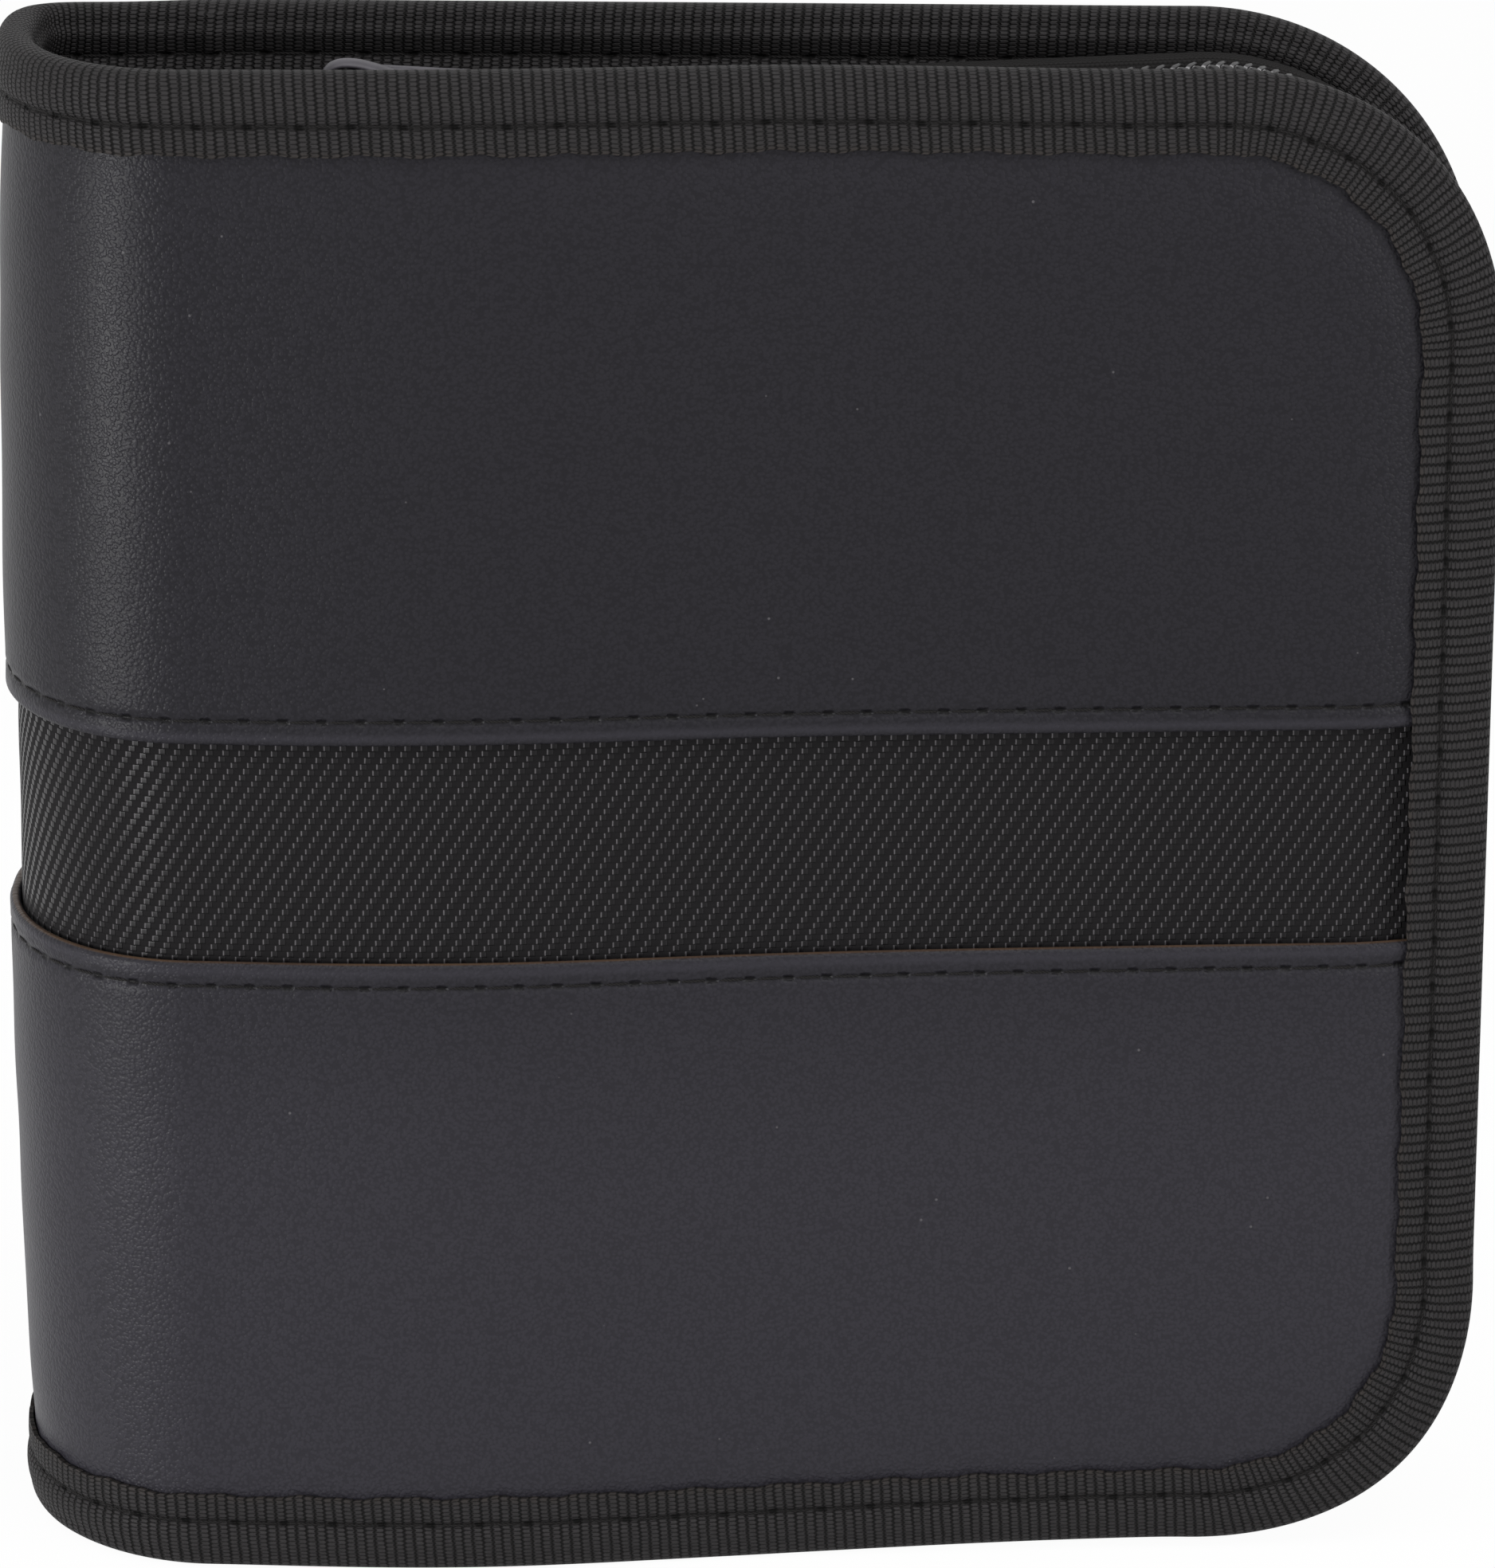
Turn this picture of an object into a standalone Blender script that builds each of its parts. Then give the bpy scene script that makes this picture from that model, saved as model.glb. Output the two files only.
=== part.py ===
# Zipped wallet for discs, standing on its lower rim with its rolled spine to the left (-X) and its zip round the
# other three sides. The front cover faces -Y. Every length is in metres.

import math

import bmesh
import bpy
from mathutils import Matrix, Vector

MM = 0.001

# Overall size of the closed wallet
WIDTH = 155 * MM
HEIGHT = 162 * MM
SPINE_DEPTH = 37.2 * MM  # over the outer skins, at the creases
FORE_EDGE_DEPTH = 27.4 * MM  # over the outer skins, at the opening
SPINE_REACH = 20 * MM  # from the creases to the leftmost point, over the binding
SPINE_LEAN = 5 * MM  # how far the leftmost point lies towards the back
BACK_SQUARENESS = 4.0  # power of the spine's back quarter, where 2 is an ellipse
CORNER_RADIUS = 30 * MM

# Depths of the layers below the outer skin
SKIN = 0.6 * MM
HEM = 1.2 * MM
HEM_LENGTH = 8 * MM
FOLD_HIGH = 91.9 * MM  # upper edge of the woven stripe that shows
FOLD_LOW = 68.3 * MM
STRIPE_TOP, STRIPE_BOTTOM = 1.35 * MM, 1.65 * MM
FOAM_TOP, FOAM_BOTTOM, FOAM_CHANNEL = 0.85 * MM, 2.9 * MM, 1.9 * MM
BOARD_TOP, BOARD_BOTTOM = 3.15 * MM, 4.05 * MM
LINING = 0.3 * MM
LINING_RIM, LINING_SPINE, LINING_COVER = 1.85 * MM, 3.15 * MM, 4.35 * MM

# Rim
SHEET_INSET = 1.4 * MM  # from the rim to the edges of the sheets sewn into it
BINDING_OUTSIDE = 8.4 * MM
BINDING_INSIDE = 7.0 * MM
BINDING_PROUD = 0.65 * MM
BINDING_INNER = 3.35 * MM
BINDING_CLOTH = 0.5 * MM
CREASE_GAP = 0.35 * MM

# Zip
TAPE_DEPTH = 2.3 * MM
TAPE_CLOTH = 0.35 * MM
CHAIN_INSET_SPINE = 8.0 * MM
CHAIN_INSET = 3.6 * MM
CHAIN_HALF_HEIGHT = 0.7 * MM
TOOTH_PITCH = 2.4 * MM
TOOTH_REACH = 0.7 * MM  # past the middle
TOOTH_ROOT = 1.9 * MM
CHAIN_EDGE = 3.1 * MM
TAPE_EDGE = 3.35 * MM
ZIP_START = 6.0 * MM  # from the crease to the first tooth
SLIDER_FROM_CREASE = 18.5 * MM
SPREAD = 2.0 * MM  # how far each half stands off before the slider

# Sleeves
LEAVES = 8
LEAF_PITCH = 1.8 * MM
LEAF_THICK = 1.0 * MM

HALF = SPINE_DEPTH / 2
CREASE_X = SPINE_REACH - WIDTH / 2
AXIS_Y = HALF + BINDING_PROUD + 0.05 * MM
TAPER = math.asin((SPINE_DEPTH - FORE_EDGE_DEPTH) / 2 / (WIDTH - SPINE_REACH))
LENGTH = (WIDTH - SPINE_REACH + 0.9 * MM * math.sin(TAPER)) / math.cos(TAPER)
STRAIGHT = LENGTH - CORNER_RADIUS
ARC = math.pi / 2 * CORNER_RADIUS
SIDE = HEIGHT - 2 * CORNER_RADIUS
RIM = 2 * STRAIGHT + 2 * ARC + SIDE

for thing in list(bpy.data.objects):
    bpy.data.objects.remove(thing, do_unlink=True)

wallet = bpy.data.collections.new("cd_storage_case")
cutters = bpy.data.collections.new("cutters")
bpy.context.scene.collection.children.link(wallet)
bpy.context.scene.collection.children.link(cutters)


def finish(name, colour, roughness, metallic=0.0):
    made = bpy.data.materials.new(name)
    made.use_nodes = True
    shader = made.node_tree.nodes["Principled BSDF"]
    shader.inputs["Base Color"].default_value = (*colour, 1)
    shader.inputs["Roughness"].default_value = roughness
    shader.inputs["Metallic"].default_value = metallic
    return made


LEATHER = (0.036, 0.034, 0.039)
CLOTH = (0.02, 0.018, 0.02)
BLACK = (0.008, 0.008, 0.009)


def add(name, mesh, look, group=wallet):
    thing = bpy.data.objects.new(name, mesh)
    group.objects.link(thing)
    if look:
        mesh.materials.clear()
        mesh.materials.append(finish(name, *look))
    return thing


def loft(name, rings, look, folded=False):
    """One closed body through rings of equal length, capped at both ends. A folded strip's caps follow its fold."""
    mesh = bpy.data.meshes.new(name)
    shape = bmesh.new()
    rows = [[shape.verts.new(p) for p in ring] for ring in rings]
    count = len(rows[0])
    for a, b in zip(rows, rows[1:]):
        for i in range(count):
            j = (i + 1) % count
            shape.faces.new((a[i], a[j], b[j], b[i]))
    for row in (rows[0], rows[-1]):
        if folded:
            for i in range(count // 2 - 1):
                shape.faces.new((row[i], row[i + 1], row[-2 - i], row[-1 - i]))
        else:
            shape.faces.new(row)
    bmesh.ops.triangulate(shape, faces=[f for f in shape.faces if len(f.verts) > 4])
    bmesh.ops.recalc_face_normals(shape, faces=shape.faces)
    shape.to_mesh(mesh)
    shape.free()
    return add(name, mesh, look)


def outline_plate(name, points, thickness, look, group=wallet):
    """A flat plate, cut to an outline in its own X and Y and extruded evenly either way of its middle."""
    curve = bpy.data.curves.new(name, "CURVE")
    curve.dimensions = "2D"
    curve.fill_mode = "BOTH"
    curve.extrude = thickness / 2
    line = curve.splines.new("POLY")
    line.points.add(len(points) - 1)
    for point, (a, b) in zip(line.points, points):
        point.co = (a, b, 0, 1)
    line.use_cyclic_u = True
    drawn = bpy.data.objects.new(name + "_outline", curve)
    cutters.objects.link(drawn)
    bpy.context.view_layer.update()
    mesh = bpy.data.meshes.new_from_object(
        drawn.evaluated_get(bpy.context.evaluated_depsgraph_get())
    )
    bpy.data.objects.remove(drawn, do_unlink=True)
    shape = bmesh.new()
    shape.from_mesh(mesh)
    bmesh.ops.remove_doubles(shape, verts=shape.verts, dist=0.00001)
    bmesh.ops.recalc_face_normals(shape, faces=shape.faces)
    shape.to_mesh(mesh)
    shape.free()
    mesh.name = name
    return add(name, mesh, look, group)


def box(name, low, high, look=None, group=cutters):
    mesh = bpy.data.meshes.new(name)
    shape = bmesh.new()
    middle = [(a + b) / 2 for a, b in zip(low, high)]
    size = [b - a for a, b in zip(low, high)]
    bmesh.ops.create_cube(
        shape, size=1, matrix=Matrix.Translation(middle) @ Matrix.Diagonal((*size, 1))
    )
    shape.to_mesh(mesh)
    shape.free()
    thing = add(name, mesh, look, group)
    if group is cutters:
        thing.hide_render = True
        thing.display_type = "WIRE"
    return thing


def apply_matrix(thing, matrix):
    thing.data.transform(matrix)
    if matrix.determinant() < 0:
        thing.data.flip_normals()
    return thing


def combine(thing, other, how):
    """A Boolean of two bodies, left as a modifier with the second body as its cutter."""
    step = thing.modifiers.new(how.lower(), "BOOLEAN")
    step.operation = how
    step.solver = "EXACT"
    step.object = other
    other.hide_render = True
    other.display_type = "WIRE"
    return thing


def settle(thing):
    """Turns the object's modifiers into its mesh, so that its origin can be moved afterwards."""
    bpy.context.view_layer.update()
    kept = list(thing.data.materials)
    mesh = bpy.data.meshes.new_from_object(
        thing.evaluated_get(bpy.context.evaluated_depsgraph_get())
    )
    thing.modifiers.clear()
    thing.data = mesh
    mesh.materials.clear()
    for look in kept:
        mesh.materials.append(look)
    return thing


def origin_at(thing, point):
    """Puts a moving piece's origin on its joint axis."""
    thing.data.transform(Matrix.Translation(-Vector(point)))
    thing.location = point
    return thing


# Frames of the covers and the line of the spine


def cover_frame(side):
    """From a cover's own axes (along from the crease, inwards, up) to the wallet's. The front has side -1."""
    along = Vector((math.cos(TAPER), -side * math.sin(TAPER), 0))
    inwards = Vector((-math.sin(TAPER), -side * math.cos(TAPER), 0))
    frame = Matrix.Identity(4)
    frame.col[0][:3] = along
    frame.col[1][:3] = inwards
    frame.col[2][:3] = (0, 0, 1)
    frame.col[3][:3] = (CREASE_X, side * HALF, 0)
    return frame


def rim_at(s):
    """The point and outward normal of the cover's outline, s along it from the upper crease to the lower one."""
    if s < STRAIGHT:
        return (s, HEIGHT), (0, 1)
    s -= STRAIGHT
    if s < ARC:
        a = s / CORNER_RADIUS
        n = (math.sin(a), math.cos(a))
        return (
            STRAIGHT + CORNER_RADIUS * n[0],
            HEIGHT - CORNER_RADIUS + CORNER_RADIUS * n[1],
        ), n
    s -= ARC
    if s < SIDE:
        return (LENGTH, HEIGHT - CORNER_RADIUS - s), (1, 0)
    s -= SIDE
    if s < ARC:
        a = math.pi / 2 + s / CORNER_RADIUS
        n = (math.sin(a), math.cos(a))
        return (STRAIGHT + CORNER_RADIUS * n[0], CORNER_RADIUS + CORNER_RADIUS * n[1]), n
    s -= ARC
    return (STRAIGHT - s, 0), (0, -1)


def rim_stations(start, corner_steps=8, fine=0):
    """Lengths along the rim at which a piece that follows it gets a section."""
    marks = [start]
    if fine:
        marks += [start + (STRAIGHT - start) * i / fine for i in range(1, fine)]
    marks += [STRAIGHT + ARC * i / corner_steps for i in range(corner_steps + 1)]
    marks += [STRAIGHT + ARC + SIDE + ARC * i / corner_steps for i in range(corner_steps + 1)]
    marks.append(RIM - start)
    return marks


def inset_outline(inset, crease, steps=8):
    """The cover's outline drawn in by inset, and by crease along its straight edge."""
    points = [(crease, HEIGHT - inset)]
    for s in rim_stations(crease, steps)[1:-1]:
        (u, z), (nu, nz) = rim_at(s)
        points.append((u - inset * nu, z - inset * nz))
    points.append((crease, inset))
    return points


def spine_line(t):
    """The spine's outer skin seen from above, from the front crease at t = 0 to the back crease at t = 1."""
    across, along = math.sin(math.pi * t), abs(math.cos(math.pi * t))
    if t > 0.5:
        across, along = across ** (2 / BACK_SQUARENESS), along ** (2 / BACK_SQUARENESS)
    x = CREASE_X - CREASE_GAP / 2 - (SPINE_REACH - BINDING_PROUD - CREASE_GAP / 2) * across
    if t < 0.5:
        return Vector((x, SPINE_LEAN - (HALF + SPINE_LEAN) * along, 0))
    return Vector((x, SPINE_LEAN + (HALF - SPINE_LEAN) * along, 0))


def spine_point(t, depth, z):
    """A point at a depth below the spine's outer skin."""
    here = spine_line(t)
    step = spine_line(min(t + 0.002, 1)) - spine_line(max(t - 0.002, 0))
    if t <= 0.002 or t >= 0.998:
        step = Vector((-1 if t < 0.5 else 1, 0, 0))
    inwards = Vector((step.y, -step.x, 0)).normalized()
    if inwards.dot(Vector((CREASE_X, 0, 0)) - here) < 0:
        inwards = -inwards
    return (here + inwards * depth) + Vector((0, 0, z))


def spine_sheet(name, section, look, folded=False, steps=22):
    """A layer of the spine: a closed section of (height, depth) carried round from crease to crease."""
    rings = [[spine_point(i / steps, d, z) for z, d in section] for i in range(steps + 1)]
    return origin_at(loft(name, rings, look, folded), (CREASE_X, AXIS_Y, 0))


# Sections shared by the covers and the spine


def panel_section(rim, fold):
    """Leatherette from the rim to its folded hem beside the stripe, as (height, depth)."""
    way = 1 if rim > fold else -1
    return [
        (rim, 0),
        (fold + way * 0.5 * MM, 0),
        (fold + way * 0.12 * MM, 0.25 * MM),
        (fold, HEM / 2),
        (fold + way * 0.12 * MM, HEM - 0.25 * MM),
        (fold + way * 0.5 * MM, HEM),
        (fold + way * HEM_LENGTH, HEM),
        (fold + way * HEM_LENGTH, SKIN),
        (rim, SKIN),
    ]


UPPER_PANEL = panel_section(HEIGHT - SHEET_INSET, FOLD_HIGH)
LOWER_PANEL = panel_section(SHEET_INSET, FOLD_LOW)
STRIPE_REACH = HEM_LENGTH - 0.4 * MM
STRIPE_SECTION = [
    (FOLD_LOW - STRIPE_REACH, STRIPE_TOP),
    (FOLD_HIGH + STRIPE_REACH, STRIPE_TOP),
    (FOLD_HIGH + STRIPE_REACH, STRIPE_BOTTOM),
    (FOLD_LOW - STRIPE_REACH, STRIPE_BOTTOM),
]


def binding_section():
    """The folded tape over a rim, as (distance in from the rim, depth)."""
    out, low, cloth = -BINDING_PROUD, BINDING_INNER, BINDING_CLOTH
    return [
        (BINDING_OUTSIDE, out),
        (0.9 * MM, out),
        (0.2 * MM, out + 0.55 * MM),
        (0, 0.9 * MM),
        (0, low - 1.3 * MM),
        (0.25 * MM, low - 0.5 * MM),
        (0.9 * MM, low),
        (BINDING_INSIDE, low),
        (BINDING_INSIDE, low - cloth),
        (1.15 * MM, low - cloth),
        (0.6 * MM, low - 1.4 * MM),
        (0.55 * MM, 0.7 * MM),
        (1.15 * MM, out + cloth),
        (BINDING_OUTSIDE, out + cloth),
    ]


# Covers


def make_cover(side, label):
    frame = cover_frame(side)
    axis = (CREASE_X, side * AXIS_Y, 0)
    stand = frame @ Matrix.Rotation(math.pi / 2, 4, "X") @ Matrix.Diagonal((1, 1, -1, 1))

    def placed(thing, matrix=frame):
        settle(thing)
        apply_matrix(thing, matrix)
        return origin_at(thing, axis) if side < 0 else thing

    def flat_plate(name, inset, crease, top, bottom, look, bevel=0.0):
        points = inset_outline(inset, crease)
        plate = outline_plate(name, points, bottom - top, look)
        plate.data.transform(Matrix.Translation((0, 0, (top + bottom) / 2)))
        if bevel:
            edge = plate.modifiers.new("edge", "BEVEL")
            edge.width = bevel
            edge.segments = 1
            edge.limit_method = "ANGLE"
        return plate

    # The outer sheets run over the whole cover and are trimmed to the same rounded outline
    for name, section, look in (
        ("upper_panel", UPPER_PANEL, (LEATHER, 0.5)),
        ("lower_panel", LOWER_PANEL, (LEATHER, 0.5)),
        ("stripe", STRIPE_SECTION, (CLOTH, 0.8)),
    ):
        sheet = loft(
            f"{label}_{name}",
            [[Vector((u, z, d)) for z, d in section] for u in (CREASE_GAP, LENGTH + MM)],
            look,
        )
        trim = flat_plate(
            f"{label}_{name}_trim", SHEET_INSET, -5 * MM, -2 * MM, 4 * MM, None
        )
        cutters.objects.link(trim)
        wallet.objects.unlink(trim)
        combine(sheet, trim, "INTERSECT")
        placed(sheet, stand)

    # Foam under the panels, with a channel for the stripe and its hems, over a stiffening board
    foam = flat_plate(
        f"{label}_foam", 12.4 * MM, 3.8 * MM, FOAM_TOP, FOAM_BOTTOM, ((0.35, 0.35, 0.36), 0.9)
    )
    channel = box(
        f"{label}_foam_channel",
        (-MM, FOLD_LOW - HEM_LENGTH - 0.8 * MM, FOAM_TOP - MM),
        (WIDTH, FOLD_HIGH + HEM_LENGTH + 0.8 * MM, FOAM_CHANNEL),
    )
    combine(foam, channel, "DIFFERENCE")
    placed(foam, stand)
    board = flat_plate(
        f"{label}_board",
        12.4 * MM,
        3.8 * MM,
        BOARD_TOP,
        BOARD_BOTTOM,
        ((0.22, 0.17, 0.12), 0.85),
        0.2 * MM,
    )
    placed(board, stand)

    # Lining: a shallow tray, thin at the rim and standing clear of the board inside it
    rings = []
    for inset, crease, depth in (
        (12.0 * MM, 3.3 * MM, LINING_COVER),
        (9.4 * MM, 0.9 * MM, LINING_RIM + 0.1 * MM),
        (9.0 * MM, 0.7 * MM, LINING_RIM),
        (SHEET_INSET, 0.5 * MM, LINING_RIM),
        (SHEET_INSET, 0.5 * MM, LINING_RIM + LINING),
        (9.2 * MM, 0.7 * MM, LINING_RIM + LINING),
        (9.7 * MM, 1.1 * MM, LINING_RIM + LINING + 0.1 * MM),
        (12.3 * MM, 3.6 * MM, LINING_COVER + LINING),
    ):
        rings.append([frame @ Vector((u, depth, z)) for u, z in inset_outline(inset, crease, 6)])
    lining = loft(f"{label}_lining", rings, (BLACK, 0.8))
    if side < 0:
        origin_at(lining, axis)

    # Binding tape folded over the three free sides
    rings = []
    for s in rim_stations(CREASE_GAP, 9):
        (u, z), (nu, nz) = rim_at(s)
        rings.append([frame @ Vector((u - d * nu, w, z - d * nz)) for d, w in binding_section()])
    binding = loft(f"{label}_binding", rings, (CLOTH, 0.75), folded=True)
    if side < 0:
        origin_at(binding, axis)
    make_zip_half(side, label, frame, axis)


# Zip


def chain_inset(s):
    """The chain lies deeper at the spine than at the opening."""
    near = min(s, RIM - s)
    return CHAIN_INSET + (CHAIN_INSET_SPINE - CHAIN_INSET) * max(0, 1 - near / STRAIGHT)


def spread_at(s):
    """How far one half stands off from the other before the slider."""
    part = (SLIDER_FROM_CREASE + 2 * MM - s) / (6 * MM)
    part = min(max(part, 0), 1)
    return SPREAD * part * part * (3 - 2 * part)


def chain_point(s, off, out, side):
    """A point of the chain: off from the middle plane, and out from the chain's own middle."""
    (u, z), (nu, nz) = rim_at(s)
    d = chain_inset(s) - out
    return Vector((CREASE_X + (u - d * nu) * math.cos(TAPER), side * off, z - d * nz))


def make_zip_half(side, label, frame, axis):
    # Cloth tape, sewn between the lining and the binding and brought up to the chain
    rings = []
    marks = rim_stations(ZIP_START - 2.5 * MM, 9)
    marks += [8 * MM, 11 * MM, 14 * MM, 17 * MM]
    for s in sorted(marks):
        (u, z), (nu, nz) = rim_at(s)
        edge = TAPE_EDGE + spread_at(s)
        sewn = [(1.6 * MM, 0), (7.35 * MM, 0), (8.3 * MM, 1.2 * MM)]
        turn = [(7.75 * MM, 1.25 * MM), (7.2 * MM, TAPE_CLOTH), (1.6 * MM, TAPE_CLOTH)]
        sewn, turn = (
            [frame @ Vector((u - d * nu, TAPE_DEPTH + w, z - d * nz)) for d, w in line]
            for line in (sewn, turn)
        )
        across = [(3.0 * MM, -1), (0, -1), (0, 1), (3.0 * MM, 1)]
        flat = [chain_point(s, edge + q, way * TAPE_CLOTH / 2, side) for q, way in across]
        rings.append(sewn + flat + turn)
    tape = loft(f"{label}_zip_tape", rings, (BLACK, 0.8), folded=True)

    # Toothed half of the chain, its teeth half a pitch from those of the other half
    rings = []
    count = int((RIM - 2 * ZIP_START) / (TOOTH_PITCH / 2))
    step = (RIM - 2 * ZIP_START) / count
    for i in range(count + 1):
        s = ZIP_START + i * step
        wide = spread_at(s)
        tip = i % 2 == (0 if side < 0 else 1)
        inner = (-TOOTH_REACH if tip else TOOTH_ROOT) + wide
        rings.append(
            [
                chain_point(s, CHAIN_EDGE + wide, CHAIN_HALF_HEIGHT, side),
                chain_point(s, inner, CHAIN_HALF_HEIGHT, side),
                chain_point(s, inner, -CHAIN_HALF_HEIGHT, side),
                chain_point(s, CHAIN_EDGE + wide, -CHAIN_HALF_HEIGHT, side),
            ]
        )
    teeth = loft(f"{label}_zip_teeth", rings, ((0.03, 0.03, 0.033), 0.4))

    # Crimped stop at each end of the half, around the tape's edge
    stops = []
    for end, s in (("upper", ZIP_START - 1.6 * MM), ("lower", RIM - ZIP_START + 1.6 * MM)):
        middle = chain_point(s, TAPE_EDGE + spread_at(s) + 0.6 * MM, 0, side)
        half = Vector((0.9 * MM, 1.1 * MM, 0.9 * MM))
        look = ((0.25, 0.25, 0.26), 0.35, 1.0)
        stop = box(f"{label}_zip_stop_{end}", middle - half, middle + half, look, wallet)
        reach = middle + Vector((0, side * MM, 0))
        half = Vector((2 * MM, 1.8 * MM, 0.42 * MM))
        combine(stop, box(f"{label}_zip_stop_slot_{end}", reach - half, reach + half), "DIFFERENCE")
        stops.append(settle(stop))
    if side < 0:
        for thing in (tape, teeth, *stops):
            origin_at(thing, axis)


make_cover(-1, "front")
make_cover(1, "back")

# Spine: the same sheets as the covers, carried round the roll
spine_sheet("spine_upper_panel", UPPER_PANEL, (LEATHER, 0.5))
spine_sheet("spine_lower_panel", LOWER_PANEL, (LEATHER, 0.5))
spine_sheet("spine_stripe", STRIPE_SECTION, (CLOTH, 0.8))
low_wall, high_wall = FOLD_LOW - HEM_LENGTH - 0.8 * MM, FOLD_HIGH + HEM_LENGTH + 0.8 * MM
spine_sheet(
    "spine_foam",
    [
        (12.4 * MM, FOAM_TOP),
        (low_wall, FOAM_TOP),
        (low_wall, FOAM_CHANNEL),
        (high_wall, FOAM_CHANNEL),
        (high_wall, FOAM_TOP),
        (HEIGHT - 12.4 * MM, FOAM_TOP),
        (HEIGHT - 12.4 * MM, FOAM_BOTTOM),
        (high_wall + MM, FOAM_BOTTOM),
        (high_wall - MM, FOAM_BOTTOM),
        (low_wall + MM, FOAM_BOTTOM),
        (low_wall - MM, FOAM_BOTTOM),
        (12.4 * MM, FOAM_BOTTOM),
    ],
    ((0.35, 0.35, 0.36), 0.9),
    folded=True,
)
tray = [(SHEET_INSET, LINING_RIM), (9.2 * MM, LINING_RIM), (11.9 * MM, LINING_SPINE)]
inner = [(SHEET_INSET, LINING), (9.0 * MM, LINING), (11.7 * MM, LINING)]
spine_sheet(
    "spine_lining",
    tray
    + [(HEIGHT - z, d) for z, d in reversed(tray)]
    + [(HEIGHT - z, d + e) for (z, e), (_, d) in zip(inner, tray)]
    + [(z, d + e) for (z, e), (_, d) in reversed(list(zip(inner, tray)))],
    (BLACK, 0.8),
    folded=True,
)
for name, rim, way in (("spine_top_binding", HEIGHT, -1), ("spine_bottom_binding", 0, 1)):
    section = [(rim + way * d, w) for d, w in binding_section()]
    spine_sheet(name, section, (CLOTH, 0.75), folded=True)

# Sleeves: leaves joined along a gutter strip, standing inside the back cover
first = LINING_COVER + LINING + 0.45 * MM
low, high = 12 * MM, HEIGHT - 11.6 * MM
outer = LENGTH - 10.5 * MM
comb = [(-5.0 * MM, first)]
for i in range(LEAVES):
    w = first + i * LEAF_PITCH
    comb += [(outer, w), (outer, w + LEAF_THICK)]
    if i < LEAVES - 1:
        comb += [(-2.8 * MM, w + LEAF_THICK), (-2.8 * MM, w + LEAF_PITCH)]
comb.append((-5.0 * MM, first + (LEAVES - 1) * LEAF_PITCH + LEAF_THICK))
pages = outline_plate("sleeve_pages", comb, high - low, ((0.02, 0.02, 0.022), 0.35))
pages.data.transform(Matrix.Translation((0, 0, (low + high) / 2)))
corner = 10 * MM
page_outline = [(-8 * MM, low), (-8 * MM, high)]
for i in range(5):
    a = math.pi / 2 * i / 4
    page_outline.append(
        (outer - corner + corner * math.sin(a), high - corner + corner * math.cos(a))
    )
for i in range(5):
    a = math.pi / 2 * (1 - i / 4)
    page_outline.append(
        (outer - corner + corner * math.sin(a), low + corner - corner * math.cos(a))
    )
page_trim = outline_plate("page_trim", page_outline, 60 * MM, None, cutters)
page_trim.data.transform(Matrix.Rotation(math.pi / 2, 4, "X"))
combine(pages, page_trim, "INTERSECT")
settle(pages)
apply_matrix(pages, cover_frame(1))

# Slider on the upper stretch of the chain, built level at the origin and then laid on the chain
slide_slope = math.atan((CHAIN_INSET_SPINE - CHAIN_INSET) / (STRAIGHT * math.cos(TAPER)))
seat = chain_point(SLIDER_FROM_CREASE, 0, 0, 1)
on_chain = Matrix.Translation(seat) @ Matrix.Rotation(-slide_slope, 4, "Y")
blade = [
    (5.5 * MM, -4.35 * MM),
    (5.5 * MM, 4.35 * MM),
    (-2.0 * MM, 5.9 * MM),
    (-4.2 * MM, 5.6 * MM),
    (-5.4 * MM, 4.4 * MM),
    (-5.4 * MM, -4.4 * MM),
    (-4.2 * MM, -5.6 * MM),
    (-2.0 * MM, -5.9 * MM),
]
METAL = ((0.06, 0.06, 0.065), 0.35, 0.8)
slider = outline_plate("zip_slider", blade, 0.8 * MM, METAL)
slider.data.transform(Matrix.Translation((0, 0, 1.4 * MM)))
under = outline_plate("slider_under_blade", blade, 0.8 * MM, None, cutters)
under.data.transform(Matrix.Translation((0, 0, -1.4 * MM)))
wedge = outline_plate(
    "slider_wedge",
    [(-1.8 * MM, 0), (-4.4 * MM, 0.95 * MM), (-4.9 * MM, 0.6 * MM), (-4.9 * MM, -0.6 * MM), (-4.4 * MM, -0.95 * MM)],
    2.6 * MM,
    None,
    cutters,
)
combine(slider, wedge, "UNION")
combine(slider, under, "UNION")
for y_way in (-1, 1):
    for z_way in (-1, 1):
        wall = [
            (5.4 * MM, y_way * 3.45 * MM),
            (5.4 * MM, y_way * 4.3 * MM),
            (-2.0 * MM, y_way * 5.8 * MM),
            (-2.0 * MM, y_way * 4.95 * MM),
        ]
        flange = outline_plate("slider_flange", wall, 0.75 * MM, None, cutters)
        flange.data.transform(Matrix.Translation((0, 0, z_way * 0.85 * MM)))
        combine(slider, flange, "UNION")

# Crown: a strap over the upper blade, highest near the nose, that holds the pull's bar
crown = [
    (-4.9 * MM, 1.7 * MM),
    (-4.7 * MM, 3.4 * MM),
    (-4.0 * MM, 4.4 * MM),
    (-2.9 * MM, 4.9 * MM),
    (-1.6 * MM, 4.9 * MM),
    (1.0 * MM, 4.1 * MM),
    (3.5 * MM, 3.0 * MM),
    (5.2 * MM, 2.3 * MM),
    (5.2 * MM, 1.7 * MM),
    (4.3 * MM, 1.7 * MM),
    (4.1 * MM, 1.95 * MM),
    (3.3 * MM, 2.3 * MM),
    (1.0 * MM, 3.3 * MM),
    (-1.7 * MM, 4.2 * MM),
    (-2.8 * MM, 4.2 * MM),
    (-3.6 * MM, 3.7 * MM),
    (-3.9 * MM, 1.7 * MM),
]
strap = outline_plate("slider_crown", crown, 2.2 * MM, None, cutters)
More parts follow.
